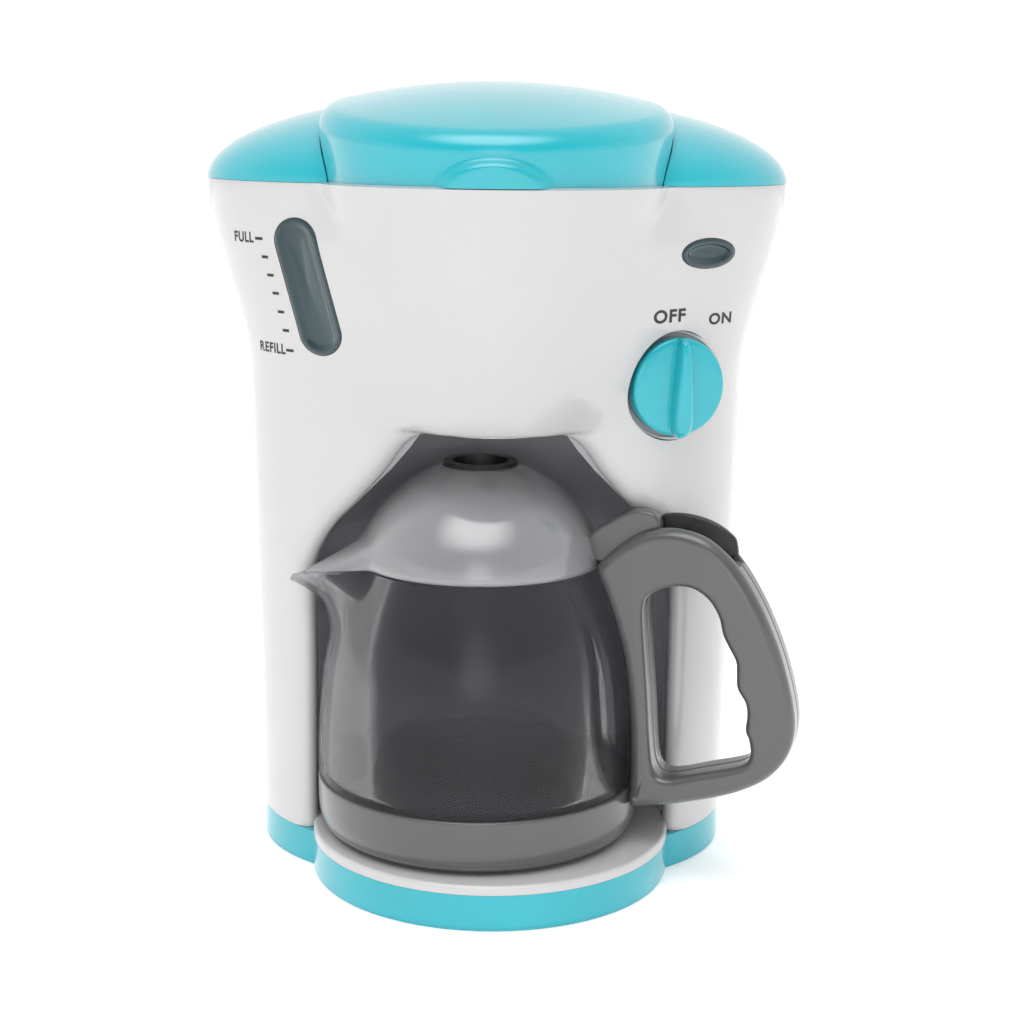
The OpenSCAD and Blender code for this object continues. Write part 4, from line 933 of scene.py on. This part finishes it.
lip_steps = [(2.2, 3.5), (2.6, 3.7), (2.8, 4.2), (2.8, 6.0), (2.4, 6.7), (1.6, 7.1), (-1.6, 7.3)]
lip_under = 1.8
trough = [in_handle(grown(outer_loop, -(slot * deep)[:, None])[in_slot], n) for deep, n in lining]
for rise, n in lip_steps:
    inset = lip_under - lip * (lip_under + rise)
    trough.append(in_handle(grown(outer_loop, -inset[:, None])[in_slot], n))
surface("handle_slot_painted_shade", trough, "jug", black_plastic, sharp=60)

# ---------------------------------------------------------------- workings
# What the shells hide: plain uncoloured plastic for the water parts, zinc-plated steel for the
# screws, pins and contacts, a green board, a red lamp and two plain jacketed cells.
natural_plastic = moulded("natural_plastic", (0.66, 0.67, 0.68), 0.35, mottle=0.03, grain=0.00006)
for name in ("water_tank", "valve_body", "valve_rotor", "drip_tube", "battery_box"):
    finish_as(nodes[name], natural_plastic)
zinc = moulded("zinc_steel", (0.55, 0.56, 0.58), 0.3, mottle=0.08, grain=0.00002, metal=1.0)
for name in ("battery_contacts", "battery_door_screw", "lid_hinge_pin", "knob_screw", "board_screws",
             "housing_screws", "tray_screws", "handle_screws", "jug_hinge_pin"):
    finish_as(nodes[name], zinc)
finish_as(nodes["tank_seal"], moulded("seal_rubber", (0.02, 0.02, 0.02), 0.7, mottle=0.1))
finish_as(nodes["circuit_board"], moulded("board_mask", (0.02, 0.14, 0.05), 0.3, mottle=0.15))
finish_as(nodes["indicator_led"], moulded("lamp_red", (0.5, 0.02, 0.015), 0.1, coat=0.5))
finish_as(nodes["batteries"], moulded("cell_jacket", (0.04, 0.10, 0.30), 0.25, coat=0.3))

# ---------------------------------------------------------------- marks
# The few plain words and level marks, pad-printed in black on the white front. Each is a flat shape
# laid on the curve of the front.
ink = moulded("printed_ink", (0.008, 0.008, 0.009), 0.5, mottle=0.1, grain=0.00001)
ink_above = 0.06


def print_mark(part):
    """Lays a flat part on the curve of the front, as part of the housing."""
    bpy.context.scene.collection.objects.link(part)
    part.data.materials.append(ink)
    places = np.array([v.co[:] for v in part.data.vertices]) * 1000
    for vertex, y in zip(part.data.vertices, front_y(places[:, 0], places[:, 2]) - ink_above):
        vertex.co.y = y / 1000
    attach(part, "housing")


def word(name, text, x, z, height, stretch=1.0):
    """A printed word: its middle, the height of its capitals and how far it is stretched."""
    face = bpy.data.curves.new(name, "FONT")
    face.body = text
    face.size = height / 0.7 / 1000
    face.offset = height * 0.05 / 1000
    face.space_character = 1.12
    face.align_x = "CENTER"
    face.align_y = "CENTER"
    holder = bpy.data.objects.new(name, face)
    bpy.context.scene.collection.objects.link(holder)
    bpy.context.view_layer.update()
    flat = bpy.data.meshes.new_from_object(holder.evaluated_get(bpy.context.evaluated_depsgraph_get()))
    bpy.data.objects.remove(holder)
    for vertex in flat.vertices:
        vertex.co = (x / 1000 + vertex.co.x * stretch, 0, z / 1000 + vertex.co.y)
    print_mark(bpy.data.objects.new(name, flat))


def dash(name, x, z, width, height=0.9, steps=8):
    """A printed dash, in steps so that it can follow the front."""
    places = [((x + i * width / steps - width / 2) / 1000, 0, (z + j * height - height / 2) / 1000)
              for j in (0, 1) for i in range(steps + 1)]
    flat = bpy.data.meshes.new(name)
    flat.from_pydata(places, [], [(i, i + 1, i + steps + 2, i + steps + 1) for i in range(steps)])
    print_mark(bpy.data.objects.new(name, flat))


word("mark_full", "FULL", -78.3, 204.6, 3.1, stretch=0.68)
word("mark_refill", "REFILL", -70.2, 169.9, 3.1, stretch=0.68)
level_marks = [(-72.8, 204.6), (-71.0, 199.0), (-69.4, 193.4), (-67.9, 187.8), (-66.4, 182.0),
               (-65.0, 176.2), (-63.9, 169.9)]
for index, (x, z) in enumerate(level_marks):
    at_end = index in (0, len(level_marks) - 1)
    dash("mark_level_%d" % index, x, z, 2.6 if at_end else 2.2)
word("mark_off", "OFF", 53.3, 183.0, 3.9)
word("mark_on", "ON", 70.5, 181.0, 3.4)
